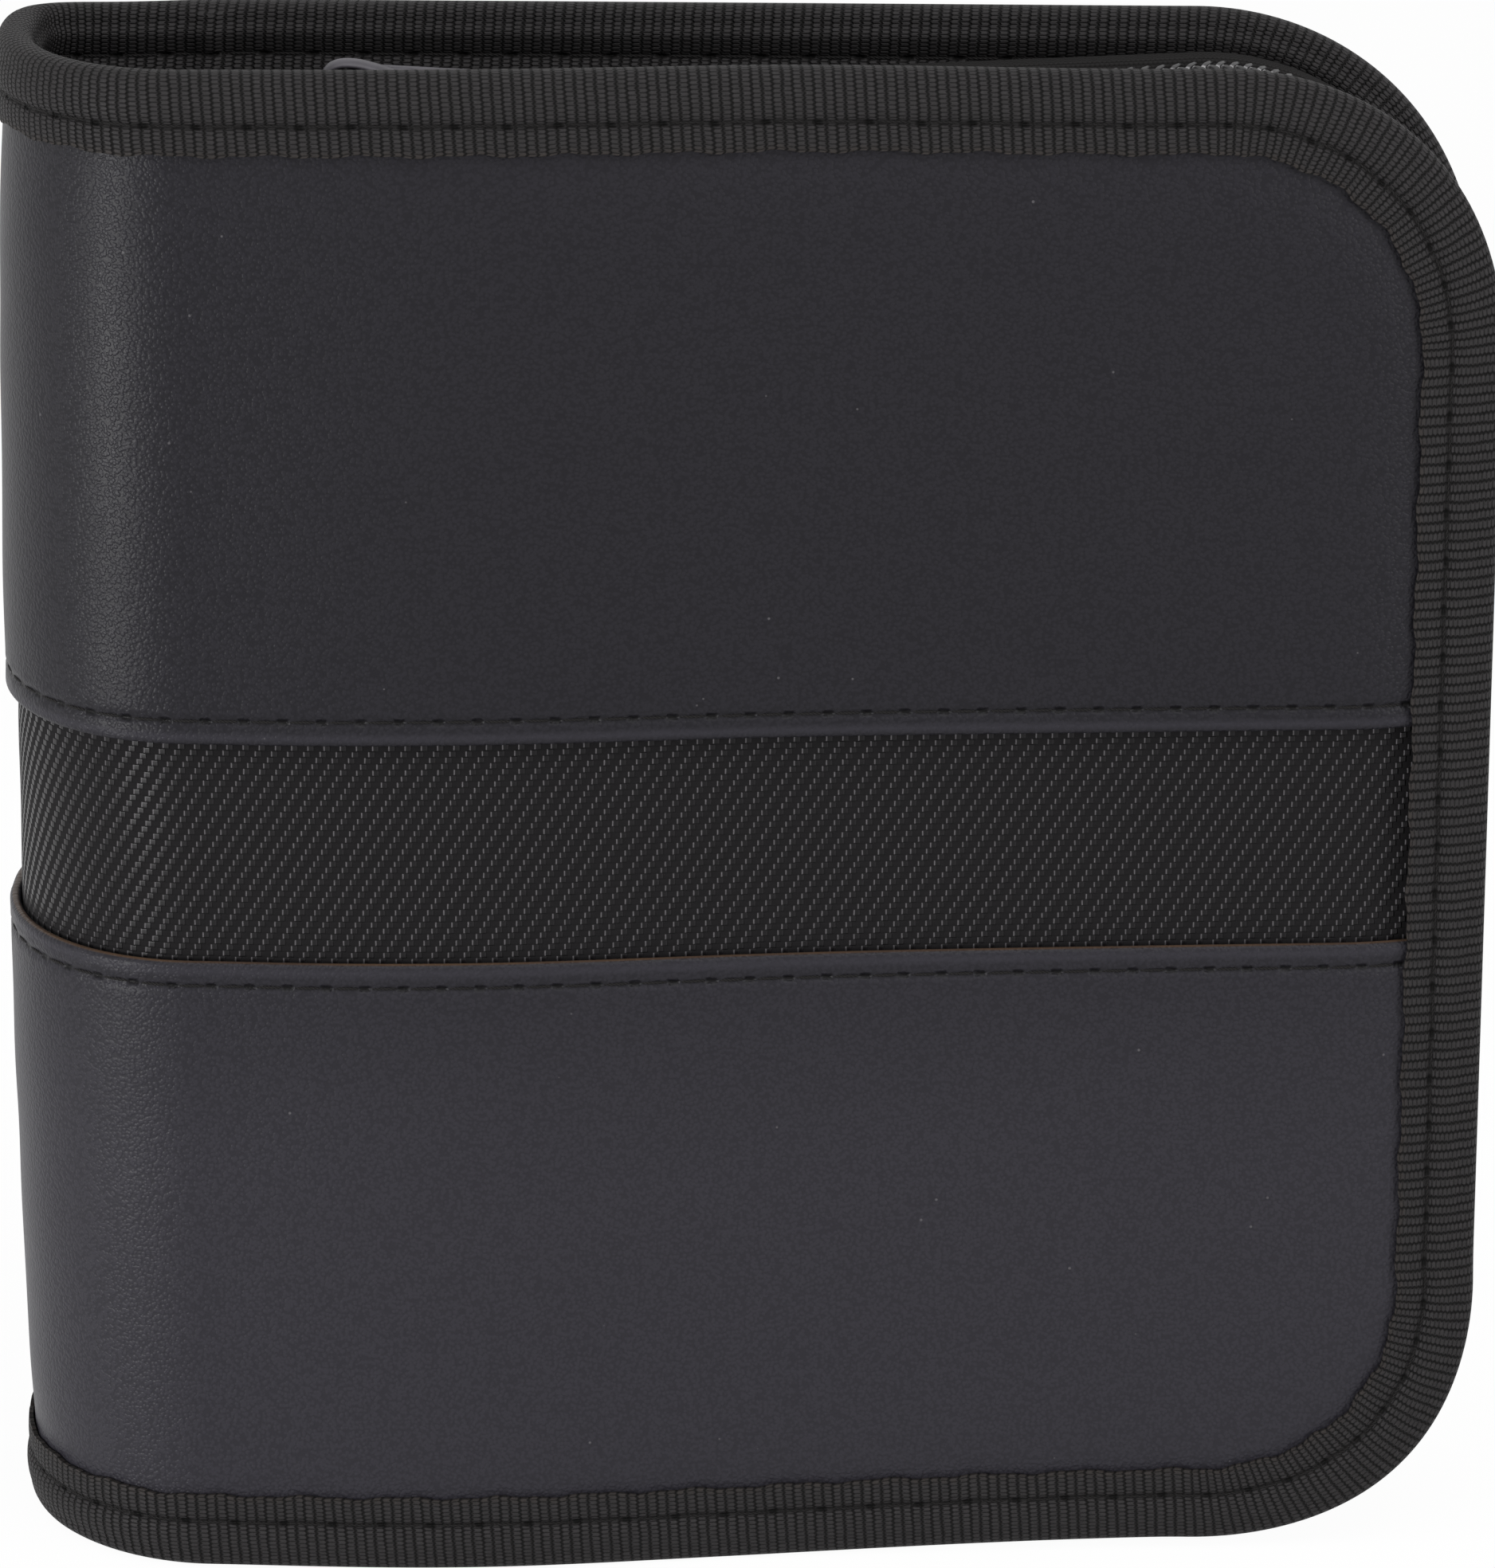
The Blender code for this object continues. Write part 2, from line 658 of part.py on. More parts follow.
strap.data.transform(Matrix.Rotation(math.pi / 2, 4, "X"))
combine(slider, strap, "UNION")
settle(slider)
apply_matrix(slider, on_chain)
origin_at(slider, seat)

# Pull: an eye round the crown and a rounded tab that droops onto the chain
PULL_BAR = (-2.2 * MM, 0, 3.2 * MM)
PULL_DROOP = math.radians(5.6)
PULL_LENGTH = 19.5 * MM
PULL_HALF_WIDTH = 3.0 * MM
BAR_HALF = 0.5 * MM
tab = [(-BAR_HALF, -PULL_HALF_WIDTH), (PULL_LENGTH - PULL_HALF_WIDTH, -PULL_HALF_WIDTH)]
for i in range(1, 8):
    a = math.pi * i / 8
    tab.append(
        (
            PULL_LENGTH - PULL_HALF_WIDTH * (1 - math.sin(a)),
            -PULL_HALF_WIDTH * math.cos(a),
        )
    )
tab += [(PULL_LENGTH - PULL_HALF_WIDTH, PULL_HALF_WIDTH), (-BAR_HALF, PULL_HALF_WIDTH)]
pull = outline_plate("zip_pull", tab, 2 * BAR_HALF, ((0.09, 0.085, 0.1), 0.45))
eye = box("pull_eye", (BAR_HALF, -1.5 * MM, -2 * MM), (8.0 * MM, 1.5 * MM, 2 * MM))
combine(pull, eye, "DIFFERENCE")
soft = pull.modifiers.new("edge", "BEVEL")
soft.width = 0.2 * MM
soft.segments = 1
soft.limit_method = "ANGLE"
soft.angle_limit = math.radians(50)
settle(pull)
hang = Matrix.Translation(PULL_BAR) @ Matrix.Rotation(PULL_DROOP, 4, "Y")
apply_matrix(pull, on_chain @ hang)
origin_at(pull, on_chain @ Vector(PULL_BAR))
print("zip seat", [round(v, 6) for v in seat], "slope deg", round(math.degrees(slide_slope), 4))
print("pull axis", [round(v, 6) for v in on_chain @ Vector(PULL_BAR)])
print("creases", round(CREASE_X, 6), round(AXIS_Y, 6), "taper", round(math.degrees(TAPER), 4), "length", round(LENGTH, 6))
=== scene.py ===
# Zipped wallet for discs, standing on its lower rims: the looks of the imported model. Lengths are in metres, with the
# front cover facing -Y and the rolled spine at -X.
import math
from functools import partialmethod

import bpy
import numpy as np
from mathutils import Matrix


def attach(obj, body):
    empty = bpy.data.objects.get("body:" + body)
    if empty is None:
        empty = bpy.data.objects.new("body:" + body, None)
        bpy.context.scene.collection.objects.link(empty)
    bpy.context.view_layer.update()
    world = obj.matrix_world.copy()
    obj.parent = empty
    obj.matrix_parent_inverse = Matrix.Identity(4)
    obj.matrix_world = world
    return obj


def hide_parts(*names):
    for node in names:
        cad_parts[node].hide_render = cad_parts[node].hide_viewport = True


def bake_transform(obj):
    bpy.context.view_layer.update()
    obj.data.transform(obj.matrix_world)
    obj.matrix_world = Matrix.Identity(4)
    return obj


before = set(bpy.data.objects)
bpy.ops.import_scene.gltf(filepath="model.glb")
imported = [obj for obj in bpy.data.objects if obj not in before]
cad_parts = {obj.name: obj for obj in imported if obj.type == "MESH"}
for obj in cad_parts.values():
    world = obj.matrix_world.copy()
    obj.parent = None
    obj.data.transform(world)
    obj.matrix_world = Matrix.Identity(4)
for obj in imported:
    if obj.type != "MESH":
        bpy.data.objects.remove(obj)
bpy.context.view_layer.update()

MM = 0.001

# --------------------------------------
# Studio. The wallet was photographed in a light tent, from straight in front and a little above, with a long lens.
# The camera sees plain white all round, and the white table keeps a soft shadow.
TARGET = (0.0004, 0.0, 0.0812)
CAMERA_RISE = math.radians(17.7)
CAMERA_DISTANCE = 0.775
SENSOR, FOCAL_LENGTH = 36, 168.04  # in millimetres
TABLE_HALF = 3
TABLE_GLOW = 0.96  # share of the table's look that is plain white to the camera; the rest keeps the shadow
LAMP_TARGET = (0, 0, 0.08)


def add(name, data):
    """Puts an object into the scene."""
    made = bpy.data.objects.new(name, data)
    bpy.context.scene.collection.objects.link(made)
    return made


lens = bpy.data.cameras.new("camera")
lens.sensor_width = SENSOR
lens.lens = FOCAL_LENGTH
camera = add("camera", lens)
back, rise = CAMERA_DISTANCE * math.cos(CAMERA_RISE), CAMERA_DISTANCE * math.sin(CAMERA_RISE)
camera.location = (TARGET[0], -back, TARGET[2] + rise)
camera.rotation_euler = (math.pi / 2 - CAMERA_RISE, 0, 0)
bpy.context.scene.camera = camera
bpy.context.scene.view_settings.view_transform = "Standard"


class Wire:
    """An output socket of a material. Arithmetic on wires and numbers adds Math nodes to the same node tree."""

    def __init__(self, tree, socket):
        self.tree, self.socket = tree, socket

    def math(self, operation, *others):
        inputs = dict(enumerate((self, *others)))
        return node(self.tree, "ShaderNodeMath", {"operation": operation}, inputs)

    def __rsub__(self, other):
        return node(self.tree, "ShaderNodeMath", {"operation": "SUBTRACT"}, {0: other, 1: self})

    __add__ = __radd__ = partialmethod(math, "ADD")
    __mul__ = __rmul__ = partialmethod(math, "MULTIPLY")
    __sub__ = partialmethod(math, "SUBTRACT")
    __truediv__ = partialmethod(math, "DIVIDE")
    __pow__ = partialmethod(math, "POWER")
    __lt__ = partialmethod(math, "LESS_THAN")
    fract = partialmethod(math, "FRACT")
    floor = partialmethod(math, "FLOOR")
    abs = partialmethod(math, "ABSOLUTE")

    def hump(self, middle, half):
        """1 at the middle, falling smoothly to 0 at half the width either way."""
        return ramp((self - middle).abs(), half, 0.0)


def node(tree, kind, settings=None, inputs=None, output=0):
    """Adds any node: its type, its settings, then the values or links of its sockets. Returns one of its outputs."""
    made = tree.nodes.new(kind)
    for key, value in (settings or {}).items():
        setattr(made, key, value)
    for key, value in (inputs or {}).items():
        if isinstance(value, Wire):
            tree.links.new(value.socket, made.inputs[key])
        else:
            made.inputs[key].default_value = value
    return Wire(tree, made.outputs[output])


def ramp(value, low, high):
    """0 below low and 1 above high, smooth between; the other way round when low is above high."""
    inputs = {"Value": value, "From Min": low, "From Max": high}
    return node(value.tree, "ShaderNodeMapRange", {"interpolation_type": "SMOOTHSTEP"}, inputs)


def mix(share, first, second):
    """A colour between two colours."""
    inputs = {0: share}
    for key, value in ((6, first), (7, second)):
        inputs[key] = value if isinstance(value, Wire) else (*value, 1)
    return node(share.tree, "ShaderNodeMix", {"data_type": "RGBA"}, inputs, 2)


def finish(name, **sockets):
    """A new Principled material with plain values on its own sockets, such as Roughness or Specular_IOR_Level."""
    made = bpy.data.materials.new(name)
    made.use_nodes = True
    shader = made.node_tree.nodes["Principled BSDF"]
    for key, value in sockets.items():
        shader.inputs[key.replace("_", " ")].default_value = value
    return made, made.node_tree, shader


def wire_up(shader, **links):
    """Joins wires to the shader's sockets. Height goes through a Bump node, with its distance in metres."""
    distance = links.pop("distance", MM)
    if "Height" in links:
        inputs = {"Height": links.pop("Height"), "Distance": distance}
        links["Normal"] = node(shader.id_data, "ShaderNodeBump", None, inputs)
    for key, value in links.items():
        value.tree.links.new(value.socket, shader.inputs[key.replace("_", " ")])


def seen(tree):
    """1 for what the camera sees, straight or in a reflection or through a clear piece."""
    names = ("Is Camera Ray", "Is Glossy Ray", "Is Transmission Ray")
    straight, reflected, through = (node(tree, "ShaderNodeLightPath", None, None, name) for name in names)
    return straight.math("MAXIMUM", reflected).math("MAXIMUM", through)


TENT = 0.5
world = bpy.data.worlds.new("tent")
bpy.context.scene.world = world
world.use_nodes = True
sky = world.node_tree
background = sky.nodes["Background"]
background.inputs["Color"].default_value = (1, 1, 1, 1)
sky.links.new((seen(sky) * (1 - TENT) + TENT).socket, background.inputs["Strength"])

table = bpy.data.meshes.new("table_top")
corners = [(x * TABLE_HALF, y * TABLE_HALF, 0) for x, y in ((-1, -1), (1, -1), (1, 1), (-1, 1))]
table.from_pydata(corners, [], [(0, 1, 2, 3)])
table_top = add("table_top", table)
paper, tree, shader = finish("table_paper", Base_Color=(0.82, 0.82, 0.82, 1), Roughness=0.9)
glow = node(tree, "ShaderNodeEmission", None, {"Color": (1, 1, 1, 1), "Strength": 1.0})
matt = Wire(tree, shader.outputs[0])
look = node(tree, "ShaderNodeMixShader", None, {0: seen(tree) * TABLE_GLOW, 1: matt, 2: glow})
tree.links.new(look.socket, tree.nodes["Material Output"].inputs["Surface"])
table.materials.append(paper)

for name, place, size, power in (
    ("tent_left", (-0.5, -0.33, 0.055), (0.14, 0.1), 2.2),
    ("tent_right", (0.5, -0.3, 0.25), (0.3, 0.3), 1.6),
    ("tent_top", (0.05, -0.32, 0.95), (0.9, 0.7), 6.0),
):
    lamp = bpy.data.lights.new(name, "AREA")
    lamp.shape = "RECTANGLE"
    lamp.size, lamp.size_y = size
    lamp.energy = power
    thing = add(name, lamp)
    thing.location = place
    aim = np.array(place) - np.array(LAMP_TARGET)
    flat = math.hypot(aim[0], aim[1])
    thing.rotation_euler = (math.atan2(flat, aim[2]), 0, math.atan2(aim[1], aim[0]) + math.pi / 2)

# --------------------------------------
# Outer skin. Thin leatherette in an upper and a lower length, each with a hem folded under beside the woven stripe and
# topstitched 2.6 mm from its fold. The lengths run round the spine, so each piece is half of one, from mid-spine.
WIDTH, HEIGHT = 155 * MM, 162 * MM
SPINE_DEPTH, FORE_EDGE_DEPTH = 37.2 * MM, 27.4 * MM
SPINE_REACH, SPINE_LEAN = 20 * MM, 5 * MM
CORNER = 30 * MM
BINDING_PROUD, BINDING_OUTSIDE = 0.65 * MM, 8.4 * MM
SHEET_INSET = 1.4 * MM  # from the rim to the edges of the sheets sewn into it
RIM_DEPTH = 0.9 * MM  # of the outermost line of the rim, below the skin
FOLD_HIGH, FOLD_LOW = 91.9 * MM, 68.3 * MM
HEM, HEM_LENGTH = 1.2 * MM, 8 * MM
SEAM_FROM_FOLD, HEM_STITCH, GROOVE = 2.6 * MM, 4.0 * MM, 0.26 * MM
PUFF, PUFF_REACH = 1.3 * MM, 10 * MM
SQUARENESS = 4.0  # power of the spine's back quarter

HALF = SPINE_DEPTH / 2
CREASE_X = SPINE_REACH - WIDTH / 2
TAPER = math.asin((SPINE_DEPTH - FORE_EDGE_DEPTH) / 2 / (WIDTH - SPINE_REACH))
COS, SIN = math.cos(TAPER), math.sin(TAPER)
LENGTH = (WIDTH - SPINE_REACH + RIM_DEPTH * SIN) / COS
STRAIGHT = LENGTH - CORNER
STRIPE_MIDDLE = (FOLD_HIGH + FOLD_LOW) / 2
SIDES = (("front", -1), ("back", 1))


def smooth(x):
    """3x^2 - 2x^3 on 0 to 1, held level outside."""
    x = np.clip(x, 0, 1)
    return x * x * (3 - 2 * x)


def bell(x, middle, width):
    """A bell curve: 1 at the middle and 1/e a width away from it."""
    return np.exp(-(((x - middle) / width) ** 2))


def stacked(*parts):
    """Points or texture coordinates from arrays of their parts."""
    return np.stack(np.broadcast_arrays(*parts), -1)


def unit(directions):
    """Directions brought to length 1."""
    return directions / np.linalg.norm(directions, axis=-1)[..., None]


def lengths_along(line):
    """Lengths along a line of points, from its start."""
    return np.concatenate([[0], np.cumsum(np.linalg.norm(np.diff(line, axis=0), axis=1))])


def roll(side):
    """Half of the spine seen from above: lengths along it from the crease, the angles that they belong to, its two
    half axes and its power. x and y are the half axes times powers of the angle's sine and cosine. Power 2 gives a
    plain ellipse, as in front; the back half turns a squarer corner."""
    wide, deep, power = SPINE_REACH - BINDING_PROUD, HALF - side * SPINE_LEAN, 2.0 if side < 0 else SQUARENESS
    angle = math.pi / 2 * np.sin(np.linspace(0, math.pi / 2, 900)) ** 2
    steps = np.hypot(np.diff(wide * np.sin(angle) ** (2 / power)), np.diff(deep * np.cos(angle) ** (2 / power)))
    return np.concatenate([[0], np.cumsum(steps)]), angle, wide, deep, power


def bow(side, run, height):
    """How far a cover softened by use stands off its flat: the front bellies out near the spine, more at the foot, and
    the back draws in a little beside the spine. Both are bell curves along the run."""
    if side > 0:
        return -1.5 * MM * bell(run, -8 * MM, 8 * MM) + 0 * height
    return 2.7 * MM * bell(run, 28 * MM, 30 * MM) * (1.25 - 0.6 * height / HEIGHT)


def settled(side, run, height):
    """Run and height after use: the edges draw in towards the opening, and each corner gives outwards a little, by
    smooth steps over a length a little more than the corner's radius."""
    foot = height < HEIGHT / 2
    amount = MM * np.where(foot, 1.6, 0.75 if side < 0 else 0.25)
    span = CORNER + 4 * MM
    near = np.where(foot, span - height, height - (HEIGHT - span)) / span
    give = amount * smooth(near) * smooth((run - LENGTH + span) / span)
    drawn = smooth((run - 55 * MM) / (50 * MM))
    height = height + (1 - height / (HEIGHT / 2)) * 0.9 * MM * drawn * (side < 0) + give * np.where(foot, -1, 1)
    return run + give - 0.45 * MM * drawn * (side > 0), height


def wallet_point(side, run, depth, height):
    """The wallet's own frame, with run along the skin from the crease, depth inwards from the skin and height up.
    For run above 0 it is the flat cover, turned in by the taper; below 0 it is the quarter round of the spine, which
    leans by a millimetre over its height. Both are bowed, and drawn in at the edges, as they are after use."""
    run, depth, height = np.broadcast_arrays(*(np.asarray(v, float) for v in (run, depth, height)))
    out = bow(side, run, height)
    lean = MM * (1.05 * height / HEIGHT - 0.7) * smooth(-run / (22 * MM))
    run, height = settled(side, run, height)
    cover = stacked(CREASE_X + run * COS - depth * SIN, side * (HALF + out - run * SIN - depth * COS), height)
    lengths, angles, wide, deep, power = roll(side)
    a = np.interp(-run, lengths, angles)
    across, along = np.sin(a), np.cos(a)
    normal_x, normal_y = -(across ** (2 - 2 / power)) / wide, along ** (2 - 2 / power) / deep
    size = np.hypot(normal_x, normal_y)
    x = CREASE_X - wide * across ** (2 / power) - depth * normal_x / size + lean
    off = side * SPINE_LEAN + deep * along ** (2 / power) + out * smooth(along * 3)
    spine = stacked(x, side * (off - depth * normal_y / size), height)
    return np.where((run < 0)[..., None], spine, cover)


def mid_spine(side):
    """Length along the skin from the crease to the leftmost point, counted as a negative run."""
    return -roll(side)[0][-1]


def past_corner(run, height):
    """Distance past the rounded corners' middles: along the run, upright or, in a corner, slanting between them."""
    beyond = np.clip(run - STRAIGHT, 0, None)
    over = np.clip(abs(height - HEIGHT / 2) - (HEIGHT / 2 - CORNER), 0, None)
    return np.hypot(beyond, over)


def puff(run, height):
    """How far padding swells the skin outwards: a pillow that rises beside the binding by a cubic, on towards
    mid-height by a sine that is flatter away from the spine, a little lower at the stripe and the crease, with a few
    slow waves. It goes on round the spine."""
    from_tape = np.clip((CORNER - past_corner(run, height) - BINDING_OUTSIDE) / PUFF_REACH, 0, 1)
    edge = (1 - (1 - from_tape) ** 3) * (1 - 0.25 * bell(run, 0, 9 * MM))
    up = np.clip((height - BINDING_OUTSIDE) / (HEIGHT - 2 * BINDING_OUTSIDE), 0, 1)
    rise = np.sin(math.pi * up) ** 0.62
    rise = rise + 0.5 * (1 - rise) * smooth(run / (60 * MM))
    dip = 1 - 0.25 * bell(height, STRIPE_MIDDLE, 16 * MM) * smooth(run / (30 * MM))
    wave = 0.08 * np.sin(run * 95 + 4 * np.sin(height * 70)) * np.sin(height * 130 + 1.7)
    return PUFF * edge * rise * (dip + wave)


def grids(name, points, uv, cell, facing, material):
    """A mesh through one or more grids of points, each rows by columns with one quad a cell, and its UV map in metres.
    facing is the direction that the numbered cell looks in; where it looks the other way, all faces are turned."""
    sheets, rows, columns = points.shape[:3]
    index = np.arange(sheets * rows * columns).reshape(sheets, rows, columns)
    quads = np.stack([index[:, :-1, :-1], index[:, 1:, :-1], index[:, 1:, 1:], index[:, :-1, 1:]], -1).reshape(-1, 4)
    flat, maps = points.reshape(-1, 3), uv.reshape(-1, 2)
    a, b, c, d = flat[quads[cell]]
    if np.cross(c - a, d - b) @ np.array(facing, float) < 0:
        quads = quads[:, ::-1]
    mesh = bpy.data.meshes.new(name)
    mesh.from_pydata(flat.tolist(), [], quads.tolist())
    mesh.uv_layers.new(name="UVMap").data.foreach_set("uv", maps[quads.ravel()].astype(np.float32).ravel())
    mesh.polygons.foreach_set("use_smooth", np.ones(len(quads), bool))
    mesh.materials.append(material)
    return add(name, mesh)


def surface(name, points, uv, facing, material):
    """A mesh through a single grid of points, whose first cell looks in the facing direction."""
    return grids(name, points[None], uv[None], 0, facing, material)


def settle(thing):
    """Works the modifiers into the mesh."""
    bpy.context.view_layer.update()
    made = bpy.data.meshes.new_from_object(thing.evaluated_get(bpy.context.evaluated_depsgraph_get()))
    thing.modifiers.clear()
    thing.data = made
    return thing


def thicken(thing, thickness):
    """Gives a sheet its thickness, inwards from the side that faces out, and keeps its cut edges crisp."""
    wall = thing.modifiers.new("wall", "SOLIDIFY")
    wall.thickness = thickness
    wall.offset = -1
    wall.use_even_offset = False
    settle(thing)
    thing.data.set_sharp_from_angle(angle=math.radians(60))
    return thing


def cover_runs(side, inset, pitch=1.1 * MM, corner=26):
    """Runs from mid-spine to the fore-edge, at an even pitch up to the rounded corner and at even angles round it."""
    plain = np.linspace(mid_spine(side), STRAIGHT, int((STRAIGHT - mid_spine(side)) / pitch))
    return np.concatenate([plain, STRAIGHT + (CORNER - inset) * np.sin(np.linspace(0, math.pi / 2, corner)[1:])])


def rim_height(run, inset):
    """Height of the upper edge of a sheet cut at an inset from the rim: level, then the arc of the corner."""
    beyond = np.clip(run - STRAIGHT, 0, CORNER - inset)
    return HEIGHT - CORNER + np.sqrt((CORNER - inset) ** 2 - beyond**2)


def skin_half(name, side, way, fold):
    """Half of one length of leatherette. Across it runs the section of the hem: the layer folded under, a half round
    nose, the topstitch's groove, and then the face up to the rim, which follows the rounded corner. way is 1 for the
    upper length, whose fold is its lower edge, and -1 for the lower one."""
    run = cover_runs(side, SHEET_INSET)[:, None]
    reach = rim_height(run, SHEET_INSET)
    rim = reach if way > 0 else HEIGHT - reach
    nose = np.linspace(math.pi / 2, -math.pi / 2, 9)
    under = np.linspace(HEM_LENGTH, HEM / 2, 6)
    near = np.linspace(HEM / 2, 6 * MM, 22)[1:]
    share = np.linspace(0, 1, 52)[1:]
    face = near[-1] + (abs(rim - fold) - near[-1]) * share
    round_in, round_off = HEM / 2 * (1 + np.sin(nose[1:-1])), HEM / 2 * (1 - np.cos(nose[1:-1]))
    ones = np.ones_like(run)
    from_fold = np.concatenate([ones * np.concatenate([under, round_off, [HEM / 2], near]), face], 1)
    depth = np.concatenate([HEM + 0 * under, round_in, np.zeros(len(near) + 1)])
    depth = np.concatenate([ones * depth, 0 * face], 1)
    front = np.arange(from_fold.shape[1]) >= len(under) + len(nose) - 2
    groove = GROOVE * bell(from_fold, SEAM_FROM_FOLD, 0.5 * MM)
    pucker = 0.05 * MM * np.sin(2 * math.pi * run / HEM_STITCH) * bell(from_fold, SEAM_FROM_FOLD, 1.6 * MM)
    depth = depth + np.where(front, groove + pucker, 0)
    height = fold + way * from_fold
    depth = depth - puff(run, np.where(front, height, fold + 0 * height))
    uv = stacked(run - mid_spine(side), height)
    return surface(name, wallet_point(side, run, depth, height), uv, (1, 0, 0), leather)


def coordinates(tree, kind="UV"):
    """Texture coordinates in metres, then their first and second parts."""
    place = node(tree, "ShaderNodeTexCoord", None, None, kind)
    split = node(tree, "ShaderNodeSeparateXYZ", None, {"Vector": place})
    return place, split, Wire(tree, split.socket.node.outputs[1])


def noise(place, scale, detail, **more):
    """Soft noise between 0 and 1, of so many steps a metre."""
    return node(place.tree, "ShaderNodeTexNoise", None, {"Vector": place, "Scale": scale, "Detail": detail, **more})


def cells(place, scale, feature="F1", **more):
    """Distance from the middle of each of a field of cells, of so many a metre."""
    inputs = {"Vector": place, "Scale": scale, **more}
    return node(place.tree, "ShaderNodeTexVoronoi", {"feature": feature}, inputs, "Distance")


def leather_tone(share):
    """The leatherette's colour, made darker or lighter."""
    return tuple(share * c for c in (0.0125, 0.0118, 0.0148))


leather, tree, shader = finish("leatherette", Specular_IOR_Level=0.12)
place, along, up = coordinates(tree)
fine = noise(place, 3600, 3, Roughness=0.6)
broad = noise(place, 60, 3)
lint = ramp(cells(place, 190), 0.035, 0.02)
from_fold = (up - STRIPE_MIDDLE).abs() - (FOLD_HIGH - FOLD_LOW) / 2
seam = from_fold.hump(SEAM_FROM_FOLD, 0.5 * MM)
hole = ramp(((along / HEM_STITCH).fract() - 0.5).abs(), 0.3, 0.42) * seam
pebbles = 1 - ramp(cells(place, 2700, "SMOOTH_F1", Smoothness=0.35), 0.3, 0.75)
grain = pebbles * 0.65 + fine * 0.35
raised = ramp(grain, 0.15, 0.85)
shade = mix(raised, leather_tone(0.84), leather_tone(1.14))
# Painted light: the leatherette is painted lighter from the stripe downwards, for the light that the white table
# throws up onto the lower length
lower = mix(raised, leather_tone(1.55), leather_tone(2.0))
shade = mix(ramp(up, STRIPE_MIDDLE + 6 * MM, STRIPE_MIDDLE - 40 * MM), shade, lower)
# Painted highlight: a lighter band along each hem's fold, where its rounded nose catches light
shade = mix(from_fold.hump(0.9 * MM, 0.8 * MM) * 0.5, shade, leather_tone(2.4))
raw_edge = (1 - ramp(from_fold, 0.02 * MM, 0.16 * MM)) * (up < STRIPE_MIDDLE)
shade = mix(raw_edge * broad * 1.2, shade, (0.085, 0.05, 0.028))
shade = mix(lint * 0.5, shade, (0.12, 0.115, 0.12))
# Painted shade: the topstitch's groove and its stitch holes are painted darker, for the shade in them
shade = mix(seam * 0.35, shade, (0.003, 0.0028, 0.0028))
shade = mix(hole * 0.9, shade, (0.0015, 0.0013, 0.0012))
rough = 0.3 + broad * 0.1 + fine * 0.1
wire_up(shader, Base_Color=shade, Roughness=rough, Height=grain - hole * 3.5, distance=0.06 * MM)

for label, side in SIDES:
    for part, way, fold in (("upper", 1, FOLD_HIGH), ("lower", -1, FOLD_LOW)):
        skin = skin_half(f"{label}_{part}_skin", side, way, fold)
        wide = LENGTH - SHEET_INSET - mid_spine(side)
        tall = (FOLD_LOW if way < 0 else HEIGHT - FOLD_HIGH) - SHEET_INSET + HEM_LENGTH
        thicken(skin, 0.5 * MM)
        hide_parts(f"{label}_{part}_panel", f"spine_{part}_panel")
        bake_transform(skin)

# --------------------------------------
# Foam and stiffening boards. One thin foam under the skin runs through both covers and the spine, and a pressed brown
# board stiffens each cover below it. Both are cut inside the sewn rim, and nothing of them shows.
FOAM_TOP, FOAM_THICK = 1.75 * MM, 1.2 * MM
BOARD_TOP, BOARD_THICK = 3.15 * MM, 0.9 * MM
CUT_INSET, BOARD_START = 12.4 * MM, 3.8 * MM

foam, tree, shader = finish("foam", Roughness=0.95)
bubbles = cells(coordinates(tree, "Object")[0], 2500)
shade = mix(bubbles, (0.2, 0.2, 0.21), (0.35, 0.35, 0.36))
wire_up(shader, Base_Color=shade, Height=bubbles, distance=0.2 * MM)
board, tree, shader = finish("pressed_board", Roughness=0.85)
fibres = noise(coordinates(tree, "Object")[0], 900, 4)
shade = mix(fibres, (0.22, 0.17, 0.12), (0.34, 0.28, 0.2))
wire_up(shader, Base_Color=shade, Height=fibres, distance=0.1 * MM)


def layer(name, side, start, depth, swell, thickness, facing, material):
    """A layer inside a cover, from a run out to its cut edge, with its outer face a depth below the skin. swell is the
    share of the skin's own swelling that it follows."""
    run = cover_runs(side, CUT_INSET, 2.2 * MM, 14)
    run = np.concatenate([[start], run[run > start + MM]])[:, None]
    top = rim_height(run, CUT_INSET)
    height = HEIGHT - top + (2 * top - HEIGHT) * np.linspace(0, 1, 50)
    uv = stacked(run, height)
    points = wallet_point(side, run, depth - swell * puff(run, height), height)
    return thicken(surface(name, points, uv, facing, material), thickness)


for label, side in SIDES:
    pad = layer(f"{label}_foam_pad", side, mid_spine(side), FOAM_TOP, 1.0, FOAM_THICK, (-1, 0, 0), foam)
    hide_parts(f"{label}_foam", "spine_foam")
    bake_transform(pad)
    plate = layer(f"{label}_stiff_board", side, BOARD_START, BOARD_TOP, 0.0, BOARD_THICK, (0, side, 0), board)
    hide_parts(f"{label}_board")
    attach(plate, label + "_cover")

# --------------------------------------
# Woven stripe. One length of black two and two twill, sewn under both hems and left bare between them. It lies about a
# millimetre below the leatherette.
STRIPE_DEPTH, STRIPE_TUCK = 1.35 * MM, 7.4 * MM
THREAD_ACROSS, THREAD_UP = 1.67 * MM / 4, 0.66 * MM

twill, tree, shader = finish("twill", Specular_IOR_Level=0.17)
place, along, up = coordinates(tree)
wobble = noise(place, 700, 1) - 0.5
row = up / THREAD_UP + wobble * 0.2
phase = (along / (4 * THREAD_ACROSS) + wobble * 0.05 - row.floor() * 0.25).fract()
rise = (row.fract() - 0.5).abs() * 2
